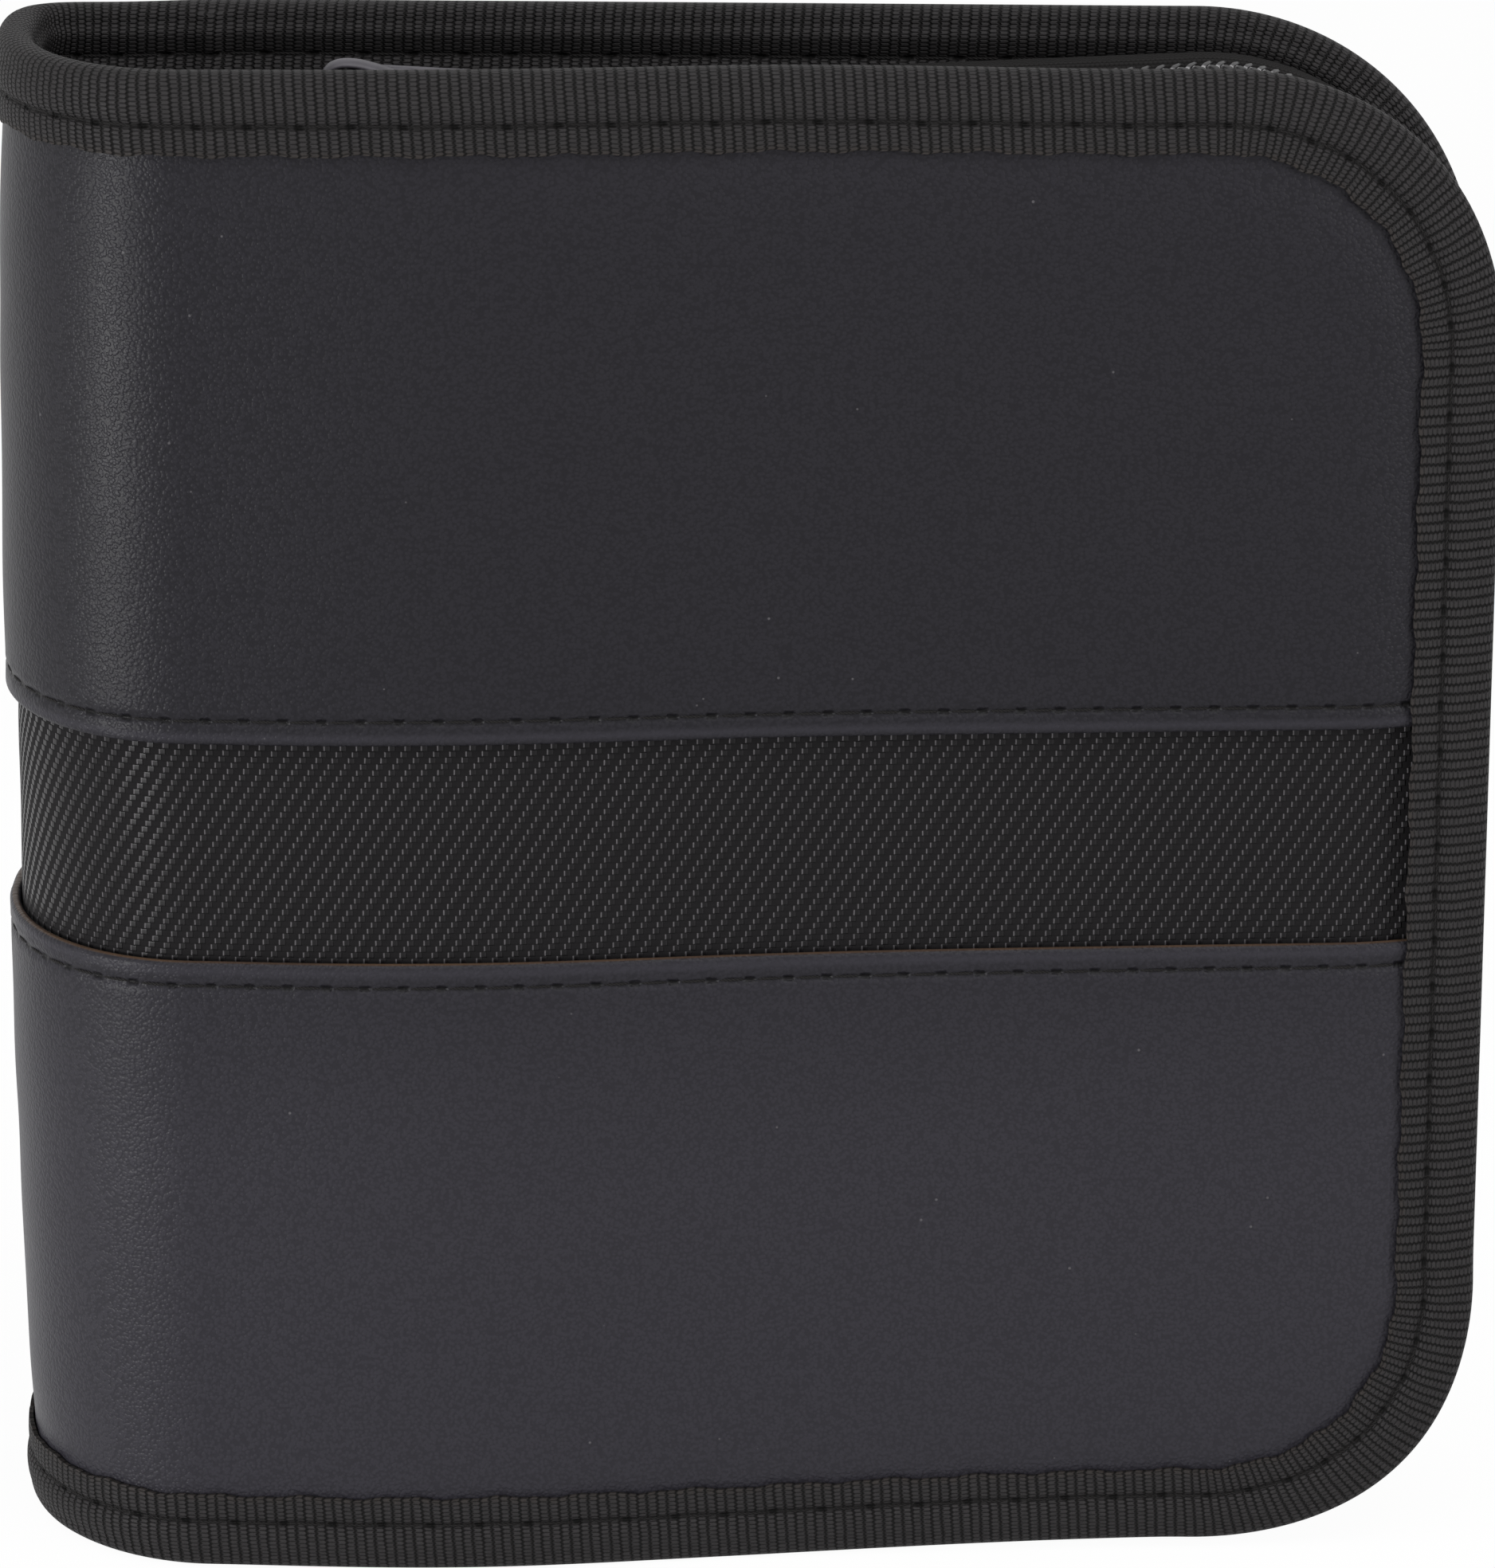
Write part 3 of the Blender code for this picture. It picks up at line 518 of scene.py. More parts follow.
# Masks of each float's lit flank and of a dimmer stripe near its other end, for painted highlights
flank_highlight = phase.hump(0.1, 0.07) * ramp(rise, 1.0, 0.65)
second = phase.hump(0.4, 0.06) * ramp(rise, 0.95, 0.5)
float_ = ramp(phase, 0.06, 0.12) * ramp(phase, 0.52, 0.44) * ramp(rise, 1.0, 0.8)
uneven = noise(place, 1500, 2)
# Painted shade: the black cloth is darker towards the edges of each row of threads, with a random unevenness
shade = mix((1 - rise**4 * 0.5) * (uneven * 0.7 + 0.3), (0.0015, 0.0014, 0.0016), (0.007, 0.0062, 0.007))
# Painted highlights: a dim stripe and a bright dash where the floats' flanks catch light on the black cloth
shade = mix(second * 0.4, shade, (0.02, 0.018, 0.02))
shade = mix(flank_highlight * (uneven * 0.6 + 0.55), shade, (0.105, 0.099, 0.105))
relief = float_ * (0.35 + phase * 1.3) + (1 - rise**4) * 0.1
wire_up(shader, Base_Color=shade, Roughness=0.88 - float_ * 0.54, Height=relief, distance=0.17 * MM)

for label, side in SIDES:
    run = cover_runs(side, SHEET_INSET, 1.6 * MM, 14)
    run = np.minimum(run, LENGTH - SHEET_INSET)[:, None]
    low, high = FOLD_LOW - STRIPE_TUCK, FOLD_HIGH + STRIPE_TUCK
    height = np.linspace(low, high, 30) + 0 * run
    depth = STRIPE_DEPTH - puff(run, np.clip(height, FOLD_LOW, FOLD_HIGH))
    onward = run if side < 0 else mid_spine(-1) + mid_spine(1) - run  # the twill goes on round the spine
    uv = stacked(onward, height)
    stripe = surface(f"{label}_stripe_cloth", wallet_point(side, run, depth, height), uv, (-1, 0, 0), twill)
    thicken(stripe, 0.28 * MM)
    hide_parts(f"{label}_stripe", "spine_stripe")
    flat = (LENGTH - SHEET_INSET - mid_spine(side), high - low)
    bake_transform(stripe)

# --------------------------------------
# Lining. Thin black cloth inside both covers and the spine, sewn in at the rim and lying over the board, so that it
# makes a shallow tray. Each piece is one cover with half of the spine.
LINING_RIM, LINING_COVER, LINING_SPINE = 1.85 * MM, 4.35 * MM, 3.15 * MM  # depths below the skin
LINING_THREAD = 0.5 * MM

lining_cloth, tree, shader = finish("lining_cloth", Roughness=0.7, Specular_IOR_Level=0.3)
place, along, up = coordinates(tree)
warp, weft = ((wire * (math.pi / LINING_THREAD)).math("SINE").abs() for wire in (along, up))
weave = warp * weft
crease = noise(place, 45, 3)
# Painted shade: the colour follows the crease noise, darker in the hollows of the wrinkles
shade = mix(weave * 0.6 + crease * 0.4, (0.006, 0.006, 0.007), (0.02, 0.019, 0.021))
wire_up(shader, Base_Color=shade, Height=weave * 0.3 + crease * 0.7, distance=0.25 * MM)

for label, side in SIDES:
    run = cover_runs(side, SHEET_INSET, 2.2 * MM, 16)[:, None]
    share = np.concatenate([np.linspace(0, 0.11, 14), np.linspace(0.11, 0.89, 30)[1:-1], np.linspace(0.89, 1, 14)])
    top = rim_height(run, SHEET_INSET)
    height = (HEIGHT - top) + (2 * top - HEIGHT) * share
    in_corner = (run > STRAIGHT) & (abs(height - HEIGHT / 2) > HEIGHT / 2 - CORNER)
    from_edges = np.minimum(np.minimum(height, HEIGHT - height), LENGTH - run)
    inset = np.where(in_corner, CORNER - past_corner(run, height), from_edges)
    floor = LINING_SPINE + (LINING_COVER - LINING_SPINE) * smooth(run / (5 * MM))
    sag = 0.12 * MM * np.sin(run * 120 + 2) * np.sin(height * 90)
    depth = LINING_RIM + (floor + sag - LINING_RIM) * smooth((inset - 9.2 * MM) / (3.0 * MM))
    points = wallet_point(side, run, depth, height)
    lining = surface(f"{label}_lining_cloth", points, stacked(run, height), (1, 0, 0), lining_cloth)
    thicken(lining, 0.25 * MM)
    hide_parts(f"{label}_lining", "spine_lining")
    flat = (LENGTH - SHEET_INSET - mid_spine(side), HEIGHT - 2 * SHEET_INSET)
    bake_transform(lining)

# --------------------------------------
# Zip. Two cloth tapes are sewn between lining and binding, and turn up to the coil. The coil is one nylon filament a
# side, wound into loops that hook past those of the other side. Each end of each side has a crimped metal stop.
TAPE_DEPTH, TAPE_EDGE = 2.3 * MM, 3.35 * MM
CHAIN_INSET_SPINE, CHAIN_INSET = 8.0 * MM, 3.6 * MM
ZIP_START, SLIDER_FROM_CREASE, SPREAD = 6.0 * MM, 18.5 * MM, 2.0 * MM
SEWN_INSET = np.array([3.0, 5.4, 7.2, 8.0, 8.3]) * MM
SEWN_DEPTH = TAPE_DEPTH + np.array([0, 0, 0.05, 0.4, 1.2]) * MM
RAISED_OFF = np.array([3.0, 2.2, 1.4, 0.6, 0.0, -0.9, -1.8, -2.6]) * MM
RAISED_OUT = np.array([0.0, 0, 0, 0, -0.2, -0.8, -1.2, -1.3]) * MM
TAPE_RIB, TAPE_PICK = 0.55 * MM, 0.5 * MM
COIL_PITCH, FILAMENT, PER_TURN = 1.6 * MM, 0.27 * MM, 10
COIL_MIDDLE, COIL_REACH, COIL_TALL = 0.95 * MM, 1.35 * MM, 0.5 * MM
ARC = math.pi / 2 * CORNER
RIM = 2 * STRAIGHT + 2 * ARC + HEIGHT - 2 * CORNER


def rim_at(s):
    """The cover's outline: run and height s along it from the upper crease, and its outward normal. It is a level
    top, a quarter circle, the upright fore-edge, a quarter circle and a level bottom, level past the creases too."""
    s = np.asarray(s, float)
    side_start, side_end = STRAIGHT + ARC, RIM - STRAIGHT - ARC
    angle = np.clip((s - STRAIGHT) / CORNER, 0, math.pi / 2) + np.clip((s - side_end) / CORNER, 0, math.pi / 2)
    out_run, out_up = np.sin(angle), np.cos(angle)
    run = np.minimum(np.minimum(s, RIM - s), STRAIGHT) + CORNER * out_run
    down = np.clip(s - side_start, 0, side_end - side_start)
    height = HEIGHT - CORNER - down + CORNER * out_up
    return run, height, out_run, out_up


def rim_point(side, s, inset, depth):
    """A point s along the rim, an inset in from it and a depth below the skin."""
    run, height, out_run, out_up = rim_at(s)
    return wallet_point(side, run - inset * out_run, depth, height - inset * out_up)


def spread_at(s):
    """How far one side of the zip stands off from the other before the slider."""
    return SPREAD * smooth((SLIDER_FROM_CREASE + 2 * MM - s) / (6 * MM))


def chain_point(s, off, out, side):
    """A point of the chain: off from the wallet's middle plane, and out from the chain's own middle line."""
    run, height, out_run, out_up = rim_at(s)
    near = np.minimum(s, RIM - s)
    inset = CHAIN_INSET + (CHAIN_INSET_SPINE - CHAIN_INSET) * np.clip(1 - near / STRAIGHT, 0, 1) - out
    return stacked(CREASE_X + (run - inset * out_run) * COS, side * off, height - inset * out_up)


tape_cloth, tree, shader = finish("zip_tape_cloth", Roughness=0.85, Specular_IOR_Level=0.1)
place, along, across = coordinates(tree)
rib = (across * (math.pi / TAPE_RIB)).math("SINE").abs()
pick = (along * (math.pi / TAPE_PICK) + (across / TAPE_RIB).floor() * (math.pi / 2)).math("SINE").abs()
shade = mix(rib * 0.5 + pick * 0.5, (0.0025, 0.0023, 0.0022), (0.011, 0.0102, 0.0102))
wire_up(shader, Base_Color=shade, Height=rib * 0.6 + pick * 0.4, distance=0.2 * MM)

nylon, tree, shader = finish("nylon_coil", Roughness=0.28, Specular_IOR_Level=0.5)
place, along, around = coordinates(tree)
# Painted highlights: the heads of the black loops are painted light grey, unevenly, for their glints
head = ramp(around, 0.5 * MM, 0.95 * MM)
glint_mottle = noise(place, 500, 2)
wire_up(shader, Base_Color=mix(head * (glint_mottle * 0.8 + 0.5), (0.018, 0.017, 0.018), (0.5, 0.49, 0.5)))

for label, side in SIDES:
    s = np.arange(ZIP_START - 2.5 * MM, RIM - ZIP_START + 2.5 * MM, 1.3 * MM)[:, None]
    sewn = rim_point(side, s, SEWN_INSET, SEWN_DEPTH)
    raised = chain_point(s, TAPE_EDGE + spread_at(s) + RAISED_OFF, RAISED_OUT, side)
    turned = (sewn[:, -1:] + raised[:, :1]) / 2
    points = np.concatenate([sewn, turned, raised], 1)
    width = lengths_along(points[40])
    tape = surface(f"{label}_zip_cloth", points, stacked(s, width), (0, side, 0), tape_cloth)
    thicken(tape, 0.33 * MM)
    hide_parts(f"{label}_zip_tape")
    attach(tape, label + "_cover")
    flat = (float(width[-1]), float(s[-1, 0] - s[0, 0]))

    # The filament winds once a pitch round a flat oval, half a pitch apart on the two sides. It stands up a little
    # where the photograph shows it, past the start of the upper corner, and lies lower elsewhere.
    turn = np.arange(int((RIM - 2 * ZIP_START) / COIL_PITCH) * PER_TURN + 1) / PER_TURN
    angle = 2 * math.pi * turn
    s = ZIP_START + (turn + (0.25 if side < 0 else 0.75)) * COIL_PITCH - 0.18 * COIL_PITCH * np.sin(2 * angle)
    sunk = 0.75 * MM - 0.62 * MM * bell(s, STRAIGHT + 7 * MM, 12 * MM)
    off = COIL_MIDDLE - COIL_REACH * np.cos(angle) + spread_at(s)
    centre = chain_point(s, off, COIL_TALL * np.sin(angle) - sunk, side)
    ahead = unit(np.gradient(centre, axis=0))
    first = unit(np.cross(ahead, (0, 1.0, 0.01)))
    second = np.cross(ahead, first)
    way = np.linspace(0, 2 * math.pi, 7)
    thick = FILAMENT * (1 + 0.35 * np.clip(np.cos(angle), 0, 1) ** 4)[:, None, None]
    ring = thick * (np.cos(way)[:, None] * first[:, None] + np.sin(way)[:, None] * second[:, None])
    points = centre[:, None] + ring
    uv = stacked(s[:, None], np.cos(angle)[:, None] * MM + 0 * way)
    coil = surface(f"{label}_zip_coil", points, uv, ring[0, 0] + ring[0, 1], nylon)
    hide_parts(f"{label}_zip_teeth")
    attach(coil, label + "_cover")

steel, tree, shader = finish("stop_steel", Metallic=1.0)
brushed = noise(coordinates(tree, "Object")[0], 1400, 2)
shade = mix(brushed, (0.2, 0.2, 0.205), (0.34, 0.34, 0.35))
wire_up(shader, Base_Color=shade, Roughness=0.32 + brushed * 0.2)
for stop in [f"{label}_zip_stop_{end}" for label, side in SIDES for end in ("upper", "lower")]:
    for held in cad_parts[stop].material_slots:
        held.material = steel

# --------------------------------------
# Binding. A ribbed tape is folded over the rim and sewn through all the layers with one row of stitches. It runs on
# round the top and bottom of the spine, so each piece is half of it, from mid-spine round a cover and back.
BINDING_INSIDE, BINDING_INNER = 7.0 * MM, 3.35 * MM
RIB, BEAD = 1.04 * MM, 0.47 * MM
SEAM_FROM_RIM, SEAM_PITCH, SEAM_HALF = 5.3 * MM, 5.2 * MM, 0.42 * MM
TURN, TURN_POWER, INNER_POINTS = 1.9 * MM, 0.8, 15


def binding_profile(edge):
    """The tape's outer face across the rim, as inset and depth: level, half a rounded oval over the rim, and level
    again inside. The seam pulls it in, and it swells by sines on both sides of the seam. edge moves the free outer
    edge, which isn't quite straight."""
    turn = np.linspace(-math.pi / 2, math.pi / 2, 17)
    high, low = -BINDING_PROUD, BINDING_INNER
    middle, half = (high + low) / 2, (low - high) / 2
    over = TURN * (1 - np.abs(np.cos(turn)) ** TURN_POWER)
    down = middle + half * np.sign(np.sin(turn)) * np.abs(np.sin(turn)) ** TURN_POWER
    outer = np.linspace(0, 1, 27)[:-1]
    inner = np.linspace(TURN, BINDING_INSIDE, INNER_POINTS + 1)[1:]
    inset = np.concatenate([BINDING_OUTSIDE + (TURN - BINDING_OUTSIDE) * outer, over, inner])
    depth = np.concatenate([high + 0 * outer, down, low + 0 * inner])
    weight = np.concatenate([(1 - outer) ** 2, 0 * over, 0 * inner])
    seam = bell(inset, SEAM_FROM_RIM, SEAM_HALF)
    flange = np.clip((BINDING_OUTSIDE - inset) / (BINDING_OUTSIDE - SEAM_FROM_RIM), 0, 1)
    rolled = np.clip((SEAM_FROM_RIM - inset) / (SEAM_FROM_RIM - TURN), 0, 1)
    way = np.where(depth < middle, 1.0, -1.0) * (np.abs(depth - middle) > 0.95 * half)
    outside = 0.1 * np.sin(math.pi * flange) + 0.32 * np.sin(math.pi * rolled) ** 0.7
    stand = np.clip((inset - SEAM_FROM_RIM) / (BINDING_INSIDE - SEAM_FROM_RIM), 0, 1)
    swell = np.where(way > 0, outside, 0.55 * np.sin(math.pi * rolled**1.8) + 0.6 * stand)
    depth = depth + way * (GROOVE * seam - MM * swell)
    return inset + weight * edge, np.broadcast_to(depth, (len(edge), len(depth)))


section = stacked(*binding_profile(np.zeros((1, 1))))[0]
section_length = lengths_along(section)
INNER_SEAM = float(np.interp(SEAM_FROM_RIM, section[-INNER_POINTS:, 0], section_length[-INNER_POINTS:]))

grosgrain, tree, shader = finish("ribbed_tape", Specular_IOR_Level=0.12)
place, along, across = coordinates(tree)
wobble = noise(place, 500, 1) - 0.5
bead = across / BEAD
zigzag = ((bead.fract() - 0.5).abs() - 0.25) * 0.34
rib = along / RIB + across * 60 + zigzag + wobble * 0.22
in_rib = (rib.fract() - 0.5).abs() * 2
half_step = (rib.floor() * 0.5).fract()
in_bead = ((bead + half_step).fract() - 0.5).abs() * 2
uneven = noise(place, 1300, 2)
# Painted shade: the gaps between the ribs and between the beads shape the relief and also darken the colour, for the
# shade in them
gap = ramp(in_rib, 0.55, 1.0)
thread = (1 - in_bead**4) * 0.5 + 0.5
body = (1 - gap) * thread
shade = mix(body * (uneven * 0.7 + 0.45), (0.0018, 0.0016, 0.0015), (0.0268, 0.025, 0.0258))
brown = ramp(across, 0.9 * MM, 0.0) * 0.5
shade = mix(brown * uneven * body, shade, (0.034, 0.025, 0.018))
seam_line = across.hump(BINDING_OUTSIDE - SEAM_FROM_RIM + 0.03 * MM, SEAM_HALF)
seam_line = seam_line.math("MAXIMUM", across.hump(INNER_SEAM, SEAM_HALF))
hole = seam_line * ramp(((along / SEAM_PITCH).fract() - 0.5).abs(), 0.37, 0.46)
# Painted shade: the seam's groove and its stitch holes are painted darker, for the shade in them
shade = mix(seam_line * 0.75, shade, (0.005, 0.0046, 0.0045))
shade = mix(hole * 0.9, shade, (0.0015, 0.0014, 0.0012))
relief = body * (1 - seam_line * 0.6) - hole * 1.5
wire_up(shader, Base_Color=shade, Roughness=0.72 - body * 0.12, Height=relief, distance=0.3 * MM)

for label, side in SIDES:
    reach = -mid_spine(side)
    s = np.append(np.arange(-reach, RIM + reach, 1.0 * MM), RIM + reach)[:, None]
    corner = 4 * (rim_at(s)[2] * rim_at(s)[3]) ** 2
    edge = MM * (0.15 * np.sin(s * 610 + side) + 0.1 * np.sin(s * 1490 + 2)) * (1 + 0.3 * corner)
    inset, depth = binding_profile(edge)
    # The back's inner face has one upright fold, just past the upper crease
    inside = np.arange(depth.shape[1]) > depth.shape[1] - INNER_POINTS - 4
    fold = 1.0 * MM * bell(s, 1.7 * MM, 1.3 * MM) * (side > 0) * inside
    points = rim_point(side, s, inset, depth + fold)
    width = lengths_along(points[60])
    binding = surface(f"{label}_binding_tape", points, stacked(s - s[0], width), (-1, 0, 0), grosgrain)
    thicken(binding, 0.45 * MM)
    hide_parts(f"{label}_binding", "spine_top_binding", "spine_bottom_binding")
    flat = (float(width[-1]), RIM + 2 * reach)
    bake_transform(binding)

# --------------------------------------
# Sewing thread. One row of black stitches holds each hem over the stripe, and one row goes through the binding, where
# it shows outside and inside. Every stitch is a short length of thread that dips into its holes.
THREAD = 0.17 * MM

thread_finish, tree, shader = finish("black_thread", Roughness=0.7, Specular_IOR_Level=0.12)
place, along, around = coordinates(tree)
strand = ((along + around * 1.2) * (math.pi / (0.4 * MM))).math("SINE").abs()
shade = mix(strand, (0.004, 0.0037, 0.0037), (0.014, 0.013, 0.013))
wire_up(shader, Base_Color=shade, Height=strand, distance=0.08 * MM)


def stitches(name, seam_point, pitch, count):
    """A row of threads in one mesh. seam_point gives the seam's point for a length and a depth. Each thread runs over
    the middle 0.78 of its stitch, sinks by a fourth power towards its ends, and is a tube of six sides with closed
    ends."""
    share = np.array([-1.0, -0.97, -0.75, -0.3, 0.3, 0.75, 0.97, 1.0])
    thick = np.array([0.0, 0.6, 1.0, 1.0, 1.0, 1.0, 0.6, 0.0]) * THREAD
    where = np.arange(count)[:, None] + 0.5 + 0.39 * share[None, :]
    centre = seam_point(where * pitch, 0.0)
    out = unit(centre - seam_point(where * pitch, MM))
    centre = centre - out * (0.3 * MM * share[:, None] ** 4)
    ahead = unit(np.gradient(centre, axis=1))
    aside = unit(np.cross(ahead, out))
    way = np.linspace(0, 2 * math.pi, 7)
    ring = np.cos(way)[:, None] * aside[:, :, None] + np.sin(way)[:, None] * np.cross(aside, ahead)[:, :, None]
    points = centre[:, :, None] + thick[None, :, None, None] * ring
    maps = stacked(where[:, :, None] * HEM_STITCH, way * THREAD)
    looks_out = points[0, 2:4, 0:2].mean((0, 1)) - centre[0, 2]
    return grids(name, points, maps, 2 * (len(way) - 1), looks_out, thread_finish)


for label, side in SIDES:
    start = mid_spine(side)
    # The points are asked for at once, so the functions may use the loops' own values
    for part, height in (("upper", FOLD_HIGH + SEAM_FROM_FOLD), ("lower", FOLD_LOW - SEAM_FROM_FOLD)):

        def hem_line(length, depth):
            run = start + length
            return wallet_point(side, run, GROOVE + depth - puff(run, height), height)

        count = int((LENGTH - 8.0 * MM - start) / HEM_STITCH)
        row = stitches(f"{label}_{part}_hem_stitches", hem_line, HEM_STITCH, count)
        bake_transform(row)
    for face, level, way in (("outer", -BINDING_PROUD + 0.27 * MM, 1), ("inner", BINDING_INNER - 0.18 * MM, -1)):

        def binding_line(length, depth):
            return rim_point(side, start + length, SEAM_FROM_RIM, level + way * depth)

        count = int((RIM - 2 * start) / SEAM_PITCH)
        row = stitches(f"{label}_{face}_binding_stitches", binding_line, SEAM_PITCH, count)
        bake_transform(row)

# --------------------------------------
# Slider. A small painted casting of two flanged plates with a wedge between them at its nose. A rounded crown over the
# upper plate holds the pull's eye. It rides on the chain just past the spine.
SLIDE_SLOPE = math.atan((CHAIN_INSET_SPINE - CHAIN_INSET) / (STRAIGHT * COS))
SEAT = chain_point(SLIDER_FROM_CREASE, 0.0, 0.0, 1)

painted, tree, shader = finish("painted_casting", Roughness=0.36, Specular_IOR_Level=0.35)
place = coordinates(tree, "Object")[0]
orange_peel = noise(place, 1100, 2)
wear = noise(place, 260, 4)
shade = mix(ramp(wear, 0.35, 0.75), (0.036, 0.033, 0.04), (0.062, 0.057, 0.068))
wire_up(shader, Base_Color=shade, Roughness=0.38 + wear * 0.14, Height=orange_peel, distance=0.05 * MM)


def on_chain(points, base=(0.0, 0.0, 0.0), droop=0.0):
    """Places points given from the slider's seat: pitched with the chain, and first tipped by droop about base."""
    c, s = math.cos(droop), math.sin(droop)
    x, y, z = np.moveaxis(np.asarray(points, float), -1, 0)
    x, z = base[0] + c * x + s * z, base[2] - s * x + c * z
    y = base[1] + y
    c, s = math.cos(SLIDE_SLOPE), math.sin(SLIDE_SLOPE)
    return stacked(SEAT[0] + c * x - s * z, SEAT[1] + y, SEAT[2] + s * x + c * z)


def welded(thing):
    """Joins points that fall together, which closes seams and ends."""
    weld = thing.modifiers.new("weld", "WELD")
    weld.merge_threshold = 0.002 * MM
    return settle(thing)


def closed_loft(name, rings, material):
    """A closed body: rings of equal length joined in order, with each end ring drawn in to its middle."""
    ends = [np.repeat(ring.mean(0)[None], len(ring), 0) for ring in (rings[0], rings[-1])]
    rings = np.concatenate([ends[0][None], rings, ends[1][None]])
    rings = np.concatenate([rings, rings[:, :1]], 1)
    length = np.arange(len(rings))[:, None] * 0.5 * MM
    uv = stacked(length, np.arange(rings.shape[1]) * 0.2 * MM)
    made = welded(surface(name, rings, uv, (0, 0, 1), material))
    volume = sum(f.center.dot(f.normal) * f.area for f in made.data.polygons)
    middle = np.mean([v.co for v in made.data.vertices], 0)
    volume -= sum((f.normal * f.area).dot(middle) for f in made.data.polygons)
    if volume < 0:
        made.data.flip_normals()
    return made


# Both plates, in millimetres from the seat: at each place along the chain a U section with rounded edges, whose
# flanges are wider and reach further down behind the wedge
x = np.array([-5.4, -5.3, -5.0, -4.2, -3.1, -2.0, -1.0, 0.5, 2.5, 4.2, 5.0, 5.4, 5.5])
half_width = np.interp(x, [-5.5, -5.4, -4.2, -2.0, 5.5], [3.9, 4.4, 5.6, 5.9, 4.35])
half_width -= np.interp(x, [-5.4, -5.3, -5.0], [0.35, 0.12, 0.0]) + np.interp(x, [5.0, 5.4, 5.5], [0.0, 0.12, 0.3])
plates = []
for way in (1, -1):
    rings = []
    for ahead, w in zip(x, half_width):
        flange, low = (w - 0.8, 0.5) if ahead > -2.6 else (w - 0.3, 1.0)
        top = 1.8 - 0.15 * (abs(ahead) > 5.2)
        half = [(w * 0.4, top + 0.06), (w - 0.3, top), (w - 0.06, top - 0.14), (w, top - 0.4), (w, low + 0.15)]
        half += [(w - 0.15, low), (flange + 0.1, low), (flange, low + 0.1), (flange, 1.0), (flange - 0.1, 1.02)]
        section = half + [(-y, z) for y, z in half[::-1]]
        section = section[-2:] + section[:-2]
        rings.append([(ahead, y, way * z) for y, z in section])
    plates.append(closed_loft(f"plate_{way}", on_chain(np.array(rings) * MM), painted))
outline = [(-1.8, 0), (-4.4, 0.95), (-4.9, 0.6), (-4.9, -0.6), (-4.4, -0.95)]
rings = [[(a, b, z) for a, b in outline] for z in (-1.2, 1.2)]
plates.append(closed_loft("wedge", on_chain(np.array(rings) * MM), painted))

# The crown is a strap of rounded section that rises steeply at the nose and slopes down to the tail
CROWN_HALF, CROWN_ABOVE, CROWN_BELOW = 1.4, 0.6, 0.25
ridge = np.array(
    [(-3.6, 1.5), (-3.75, 2.5), (-3.6, 3.3), (-3.05, 3.82), (-2.2, 4.06), (-1.2, 4.06)]
    + [(-0.1, 3.86), (1.2, 3.46), (2.5, 2.98), (3.8, 2.46), (4.8, 2.1), (5.3, 1.6)]
)
length = np.linspace(0, len(ridge) - 1, 45)
ridge = stacked(*(np.interp(length, np.arange(len(ridge)), line) for line in ridge.T))
for _ in range(3):
    ridge[1:-1] = (ridge[:-2] + 2 * ridge[1:-1] + ridge[2:]) / 4
tangent = unit(np.gradient(ridge, axis=0))
angle = np.linspace(0, 2 * math.pi, 17)[:-1]
aside = CROWN_HALF * np.cos(angle)
above = np.where(np.sin(angle) > 0, CROWN_ABOVE, CROWN_BELOW) * np.sin(angle)
x, z = ridge[:, None, 0] - tangent[:, None, 1] * above, ridge[:, None, 1] + tangent[:, None, 0] * above
rings = stacked(x, aside, z)
plates.append(closed_loft("crown", on_chain(rings * MM), painted))
slider = plates[0]
with bpy.context.temp_override(active_object=slider, selected_editable_objects=plates):
    bpy.ops.object.join()
slider.name = "slider_casting"
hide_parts("zip_slider")
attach(slider, "zip_slider")

# --------------------------------------
# Pull. A flat painted tab with a long eye round the crown and a round end, lying on the chain.
PULL_BAR, PULL_DROOP = (-2.2 * MM, 0.0, 3.2 * MM), math.radians(5.6)
PULL_LENGTH, PULL_HALF_WIDTH, BAR_HALF = 19.5 * MM, 3.0 * MM, 0.5 * MM
EYE_END, EYE_HALF = 8.0 * MM, 1.5 * MM


def rounded(low, high, half, near, far, inset):
    """An outline of a rectangle with round corners, drawn in by inset: corner middles plus radius times direction."""
    angle = (np.arange(48) + 0.5) / 48 * 2 * math.pi
    ahead, up = np.cos(angle), np.sin(angle)
    radius = np.where(ahead > 0, far, near)
    middle = np.where(ahead > 0, high - radius, low + radius)
    return stacked(middle + (radius - inset) * ahead, np.sign(up) * (half - radius) + (radius - inset) * up)


loops = []
edge = 0.22 * MM
for hole, inset, level in (
    (True, -edge, BAR_HALF),
    (False, edge, BAR_HALF),
    (False, 0.3 * edge, BAR_HALF - 0.3 * edge),
    (False, 0.0, BAR_HALF - edge),
    (False, 0.0, edge - BAR_HALF),
    (False, 0.3 * edge, 0.3 * edge - BAR_HALF),
    (False, edge, -BAR_HALF),
    (True, -edge, -BAR_HALF),
    (True, 0.0, edge - BAR_HALF),
    (True, 0.0, BAR_HALF - edge),
    (True, -edge, BAR_HALF),
):
    if hole:
        line = rounded(BAR_HALF, EYE_END, EYE_HALF, 0.5 * MM, 1.3 * MM, inset)
    else:
        line = rounded(-BAR_HALF, PULL_LENGTH, PULL_HALF_WIDTH, 1.2 * MM, PULL_HALF_WIDTH - 0.01 * MM, inset)
    loops.append(np.column_stack([line, np.full(len(line), level)]))
loops = np.array(loops)
loops = on_chain(np.concatenate([loops, loops[:, :1]], 1), PULL_BAR, PULL_DROOP)
uv = np.moveaxis(np.indices(loops.shape[:2]), 0, -1) * MM
pull = welded(surface("pull_tab", loops, uv, (0, 0, 1), painted))
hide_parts("zip_pull")
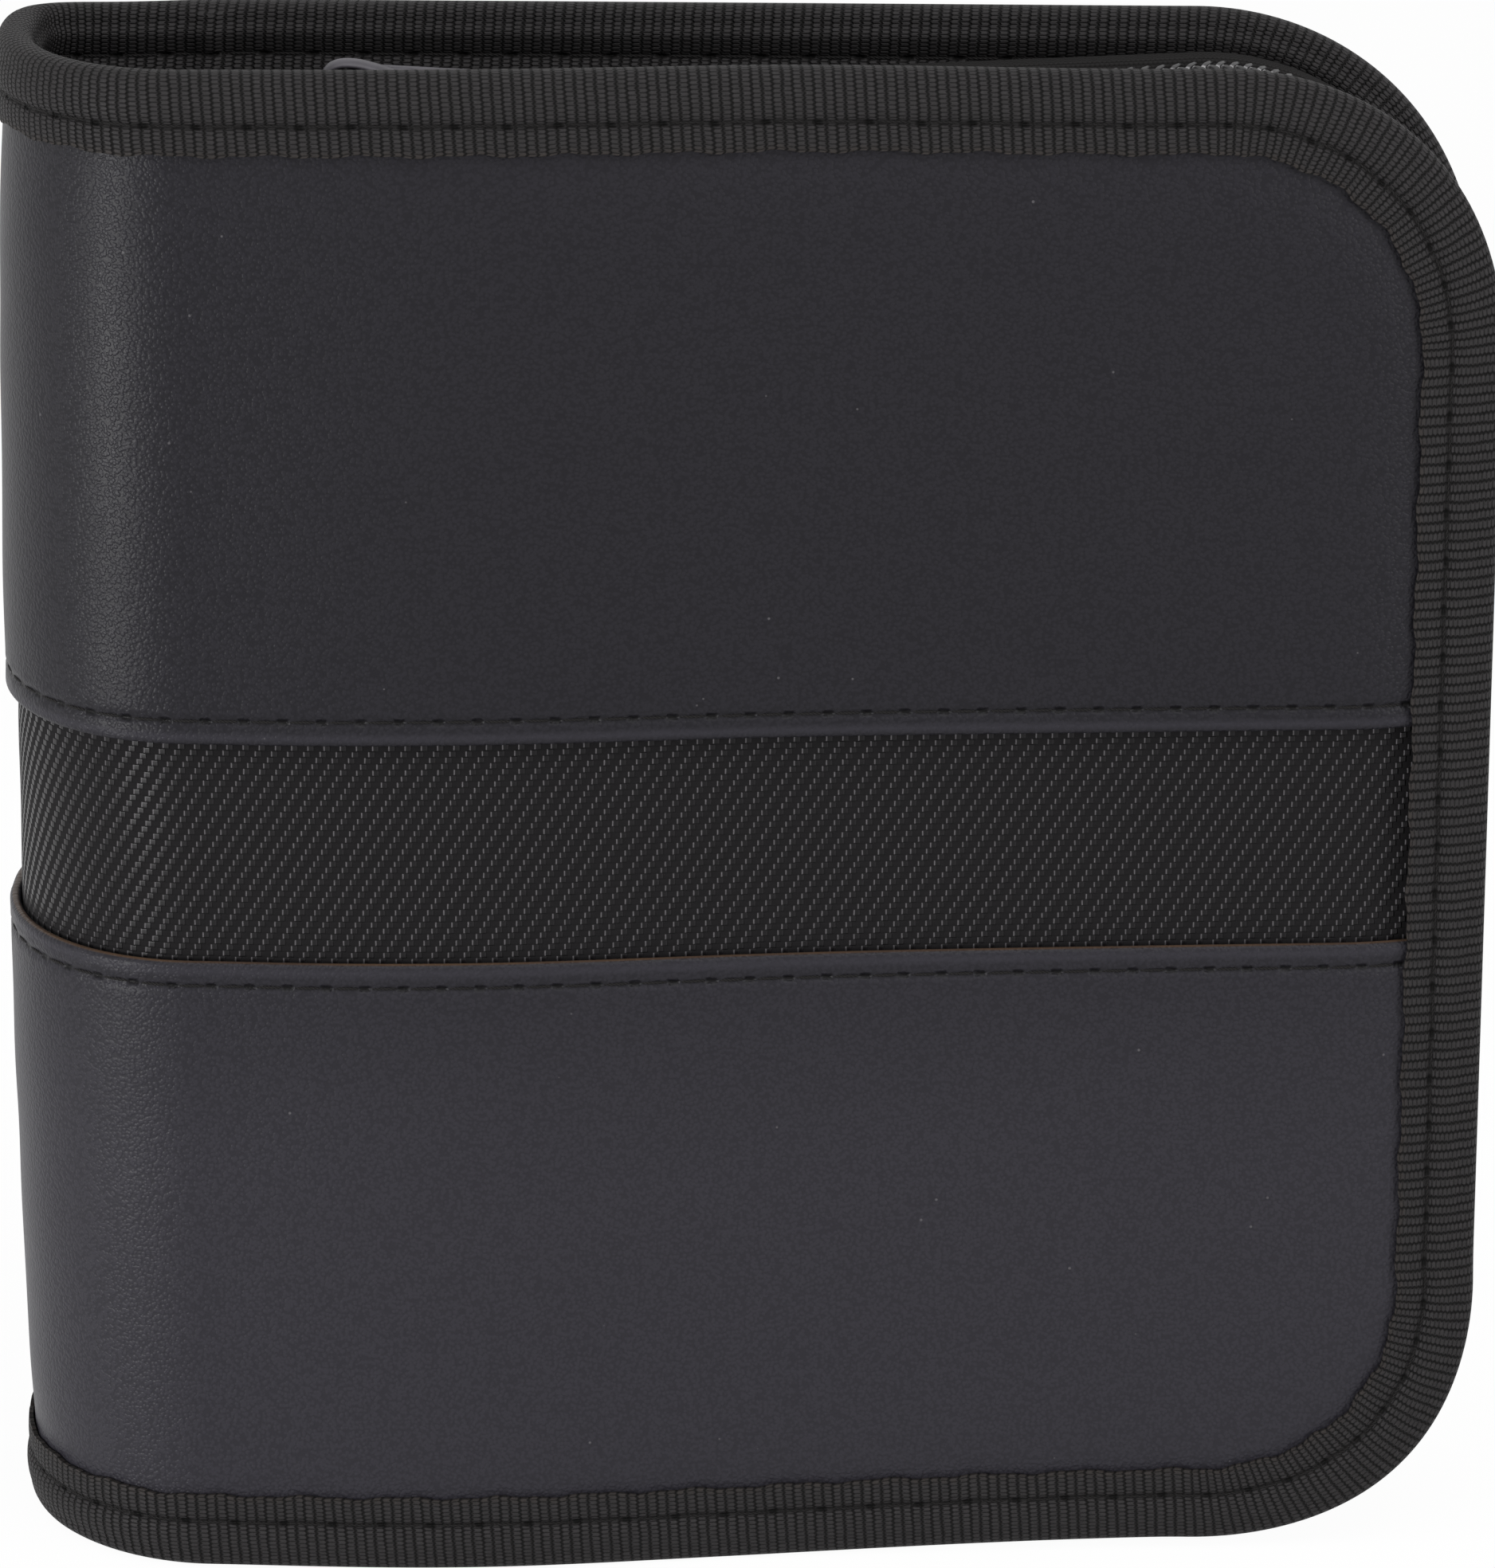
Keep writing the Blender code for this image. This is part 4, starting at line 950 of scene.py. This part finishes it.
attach(pull, "zip_pull")

# --------------------------------------
# Sleeves. Leaves of black fleece, each with a clear film pocket for one disc, welded together along a gutter strip
# beside the spine. They hang from the back cover's side of the gutter.
LEAVES, LEAF_PITCH, FIRST_LEAF = 8, 1.8 * MM, 5.1 * MM
LEAF_LOW, LEAF_HIGH, LEAF_OUT, LEAF_CORNER = 12 * MM, 150.4 * MM, 124.6 * MM, 10 * MM
LEAF_TUCK, POCKET_TUCK, POCKET_MARGIN, POCKET_MOUTH = 5 * MM, 1 * MM, 1.2 * MM, 9 * MM
COVER_WAY = np.array((COS, -SIN, 0))

fleece, tree, shader = finish("sleeve_fleece", Roughness=0.9, Specular_IOR_Level=0.2)
place = coordinates(tree)[0]
fibre = noise(place, 1500, 5, Roughness=0.7)
dots = cells(place, 900)
shade = mix(fibre * 0.7 + dots * 0.3, (0.006, 0.006, 0.007), (0.03, 0.03, 0.032))
wire_up(shader, Base_Color=shade, Height=fibre * 0.6 + dots * 0.4, distance=0.1 * MM)
film, tree, shader = finish("pocket_film", Base_Color=(0.75, 0.76, 0.78, 1), Roughness=0.16, Specular_IOR_Level=0.6)
ripple = noise(coordinates(tree)[0], 38, 2)
wire_up(shader, Alpha=0.1 + ripple * 0.1, Height=ripple, distance=1.2 * MM)


def leaf_sheet(name, low_run, high_run, bottom, top, level, lift, material):
    """A sheet with rounded outer corners in the back cover's frame, with a slow ripple, bulging by lift at its middle
    by a sine each way. It goes on straight into the gutter, at runs below 0."""
    start = high_run - LEAF_CORNER
    turn = np.linspace(0, math.pi / 2, 8)[1:]
    run = np.concatenate([np.linspace(low_run, start, 26), start + LEAF_CORNER * np.sin(turn)])[:, None]
    drop = LEAF_CORNER - np.sqrt(LEAF_CORNER**2 - np.clip(run - start, 0, LEAF_CORNER) ** 2)
    height = (bottom + drop) + (top - bottom - 2 * drop) * np.linspace(0, 1, 28)
    wave = 0.12 * MM * np.sin(run * 60 + level * 4000) * np.sin(height * 45 + level * 9000)
    across, up = np.clip((run - low_run) / (high_run - low_run), 0, 1), (height - bottom) / (top - bottom)
    depth = level + wave + lift * np.sin(math.pi * across) * np.sin(math.pi * up)
    flat = np.clip(run, 0, None)
    points = wallet_point(1, flat, depth, height) + (run - flat)[..., None] * COVER_WAY
    return surface(name, points, stacked(run, height), (0, -1, 0), material)


for number in range(LEAVES):
    level = FIRST_LEAF + number * LEAF_PITCH + 0.35 * MM
    leaf = leaf_sheet(f"sleeve_leaf_{number + 1}", -LEAF_TUCK, LEAF_OUT, LEAF_LOW, LEAF_HIGH, level, 0.0, fleece)
    thicken(leaf, 0.3 * MM)
    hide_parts("sleeve_pages")
    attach(leaf, "back_cover")
    flat = (LEAF_OUT + LEAF_TUCK, LEAF_HIGH - LEAF_LOW)
    out, low, high = LEAF_OUT - POCKET_MARGIN, LEAF_LOW + POCKET_MARGIN, LEAF_HIGH - POCKET_MOUTH
    level += 0.2 * MM
    pocket = leaf_sheet(f"sleeve_pocket_{number + 1}", -POCKET_TUCK, out, low, high, level, 0.25 * MM, film)
    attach(pocket, "back_cover")
    high - low

last = FIRST_LEAF + (LEAVES - 1) * LEAF_PITCH + MM
outline = rounded(-5.4 * MM, -2.8 * MM, (last - FIRST_LEAF) / 2, 0.5 * MM, 0.5 * MM, 0.0)
run, depth = outline[:, :1], outline[:, 1] + (last + FIRST_LEAF) / 2
gutter = [wallet_point(1, 0.0, depth, z) + run * COVER_WAY for z in np.linspace(LEAF_LOW, LEAF_HIGH, 12)]
strip = closed_loft("sleeve_gutter", np.array(gutter), fleece)
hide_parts("sleeve_pages")
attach(strip, "back_cover")
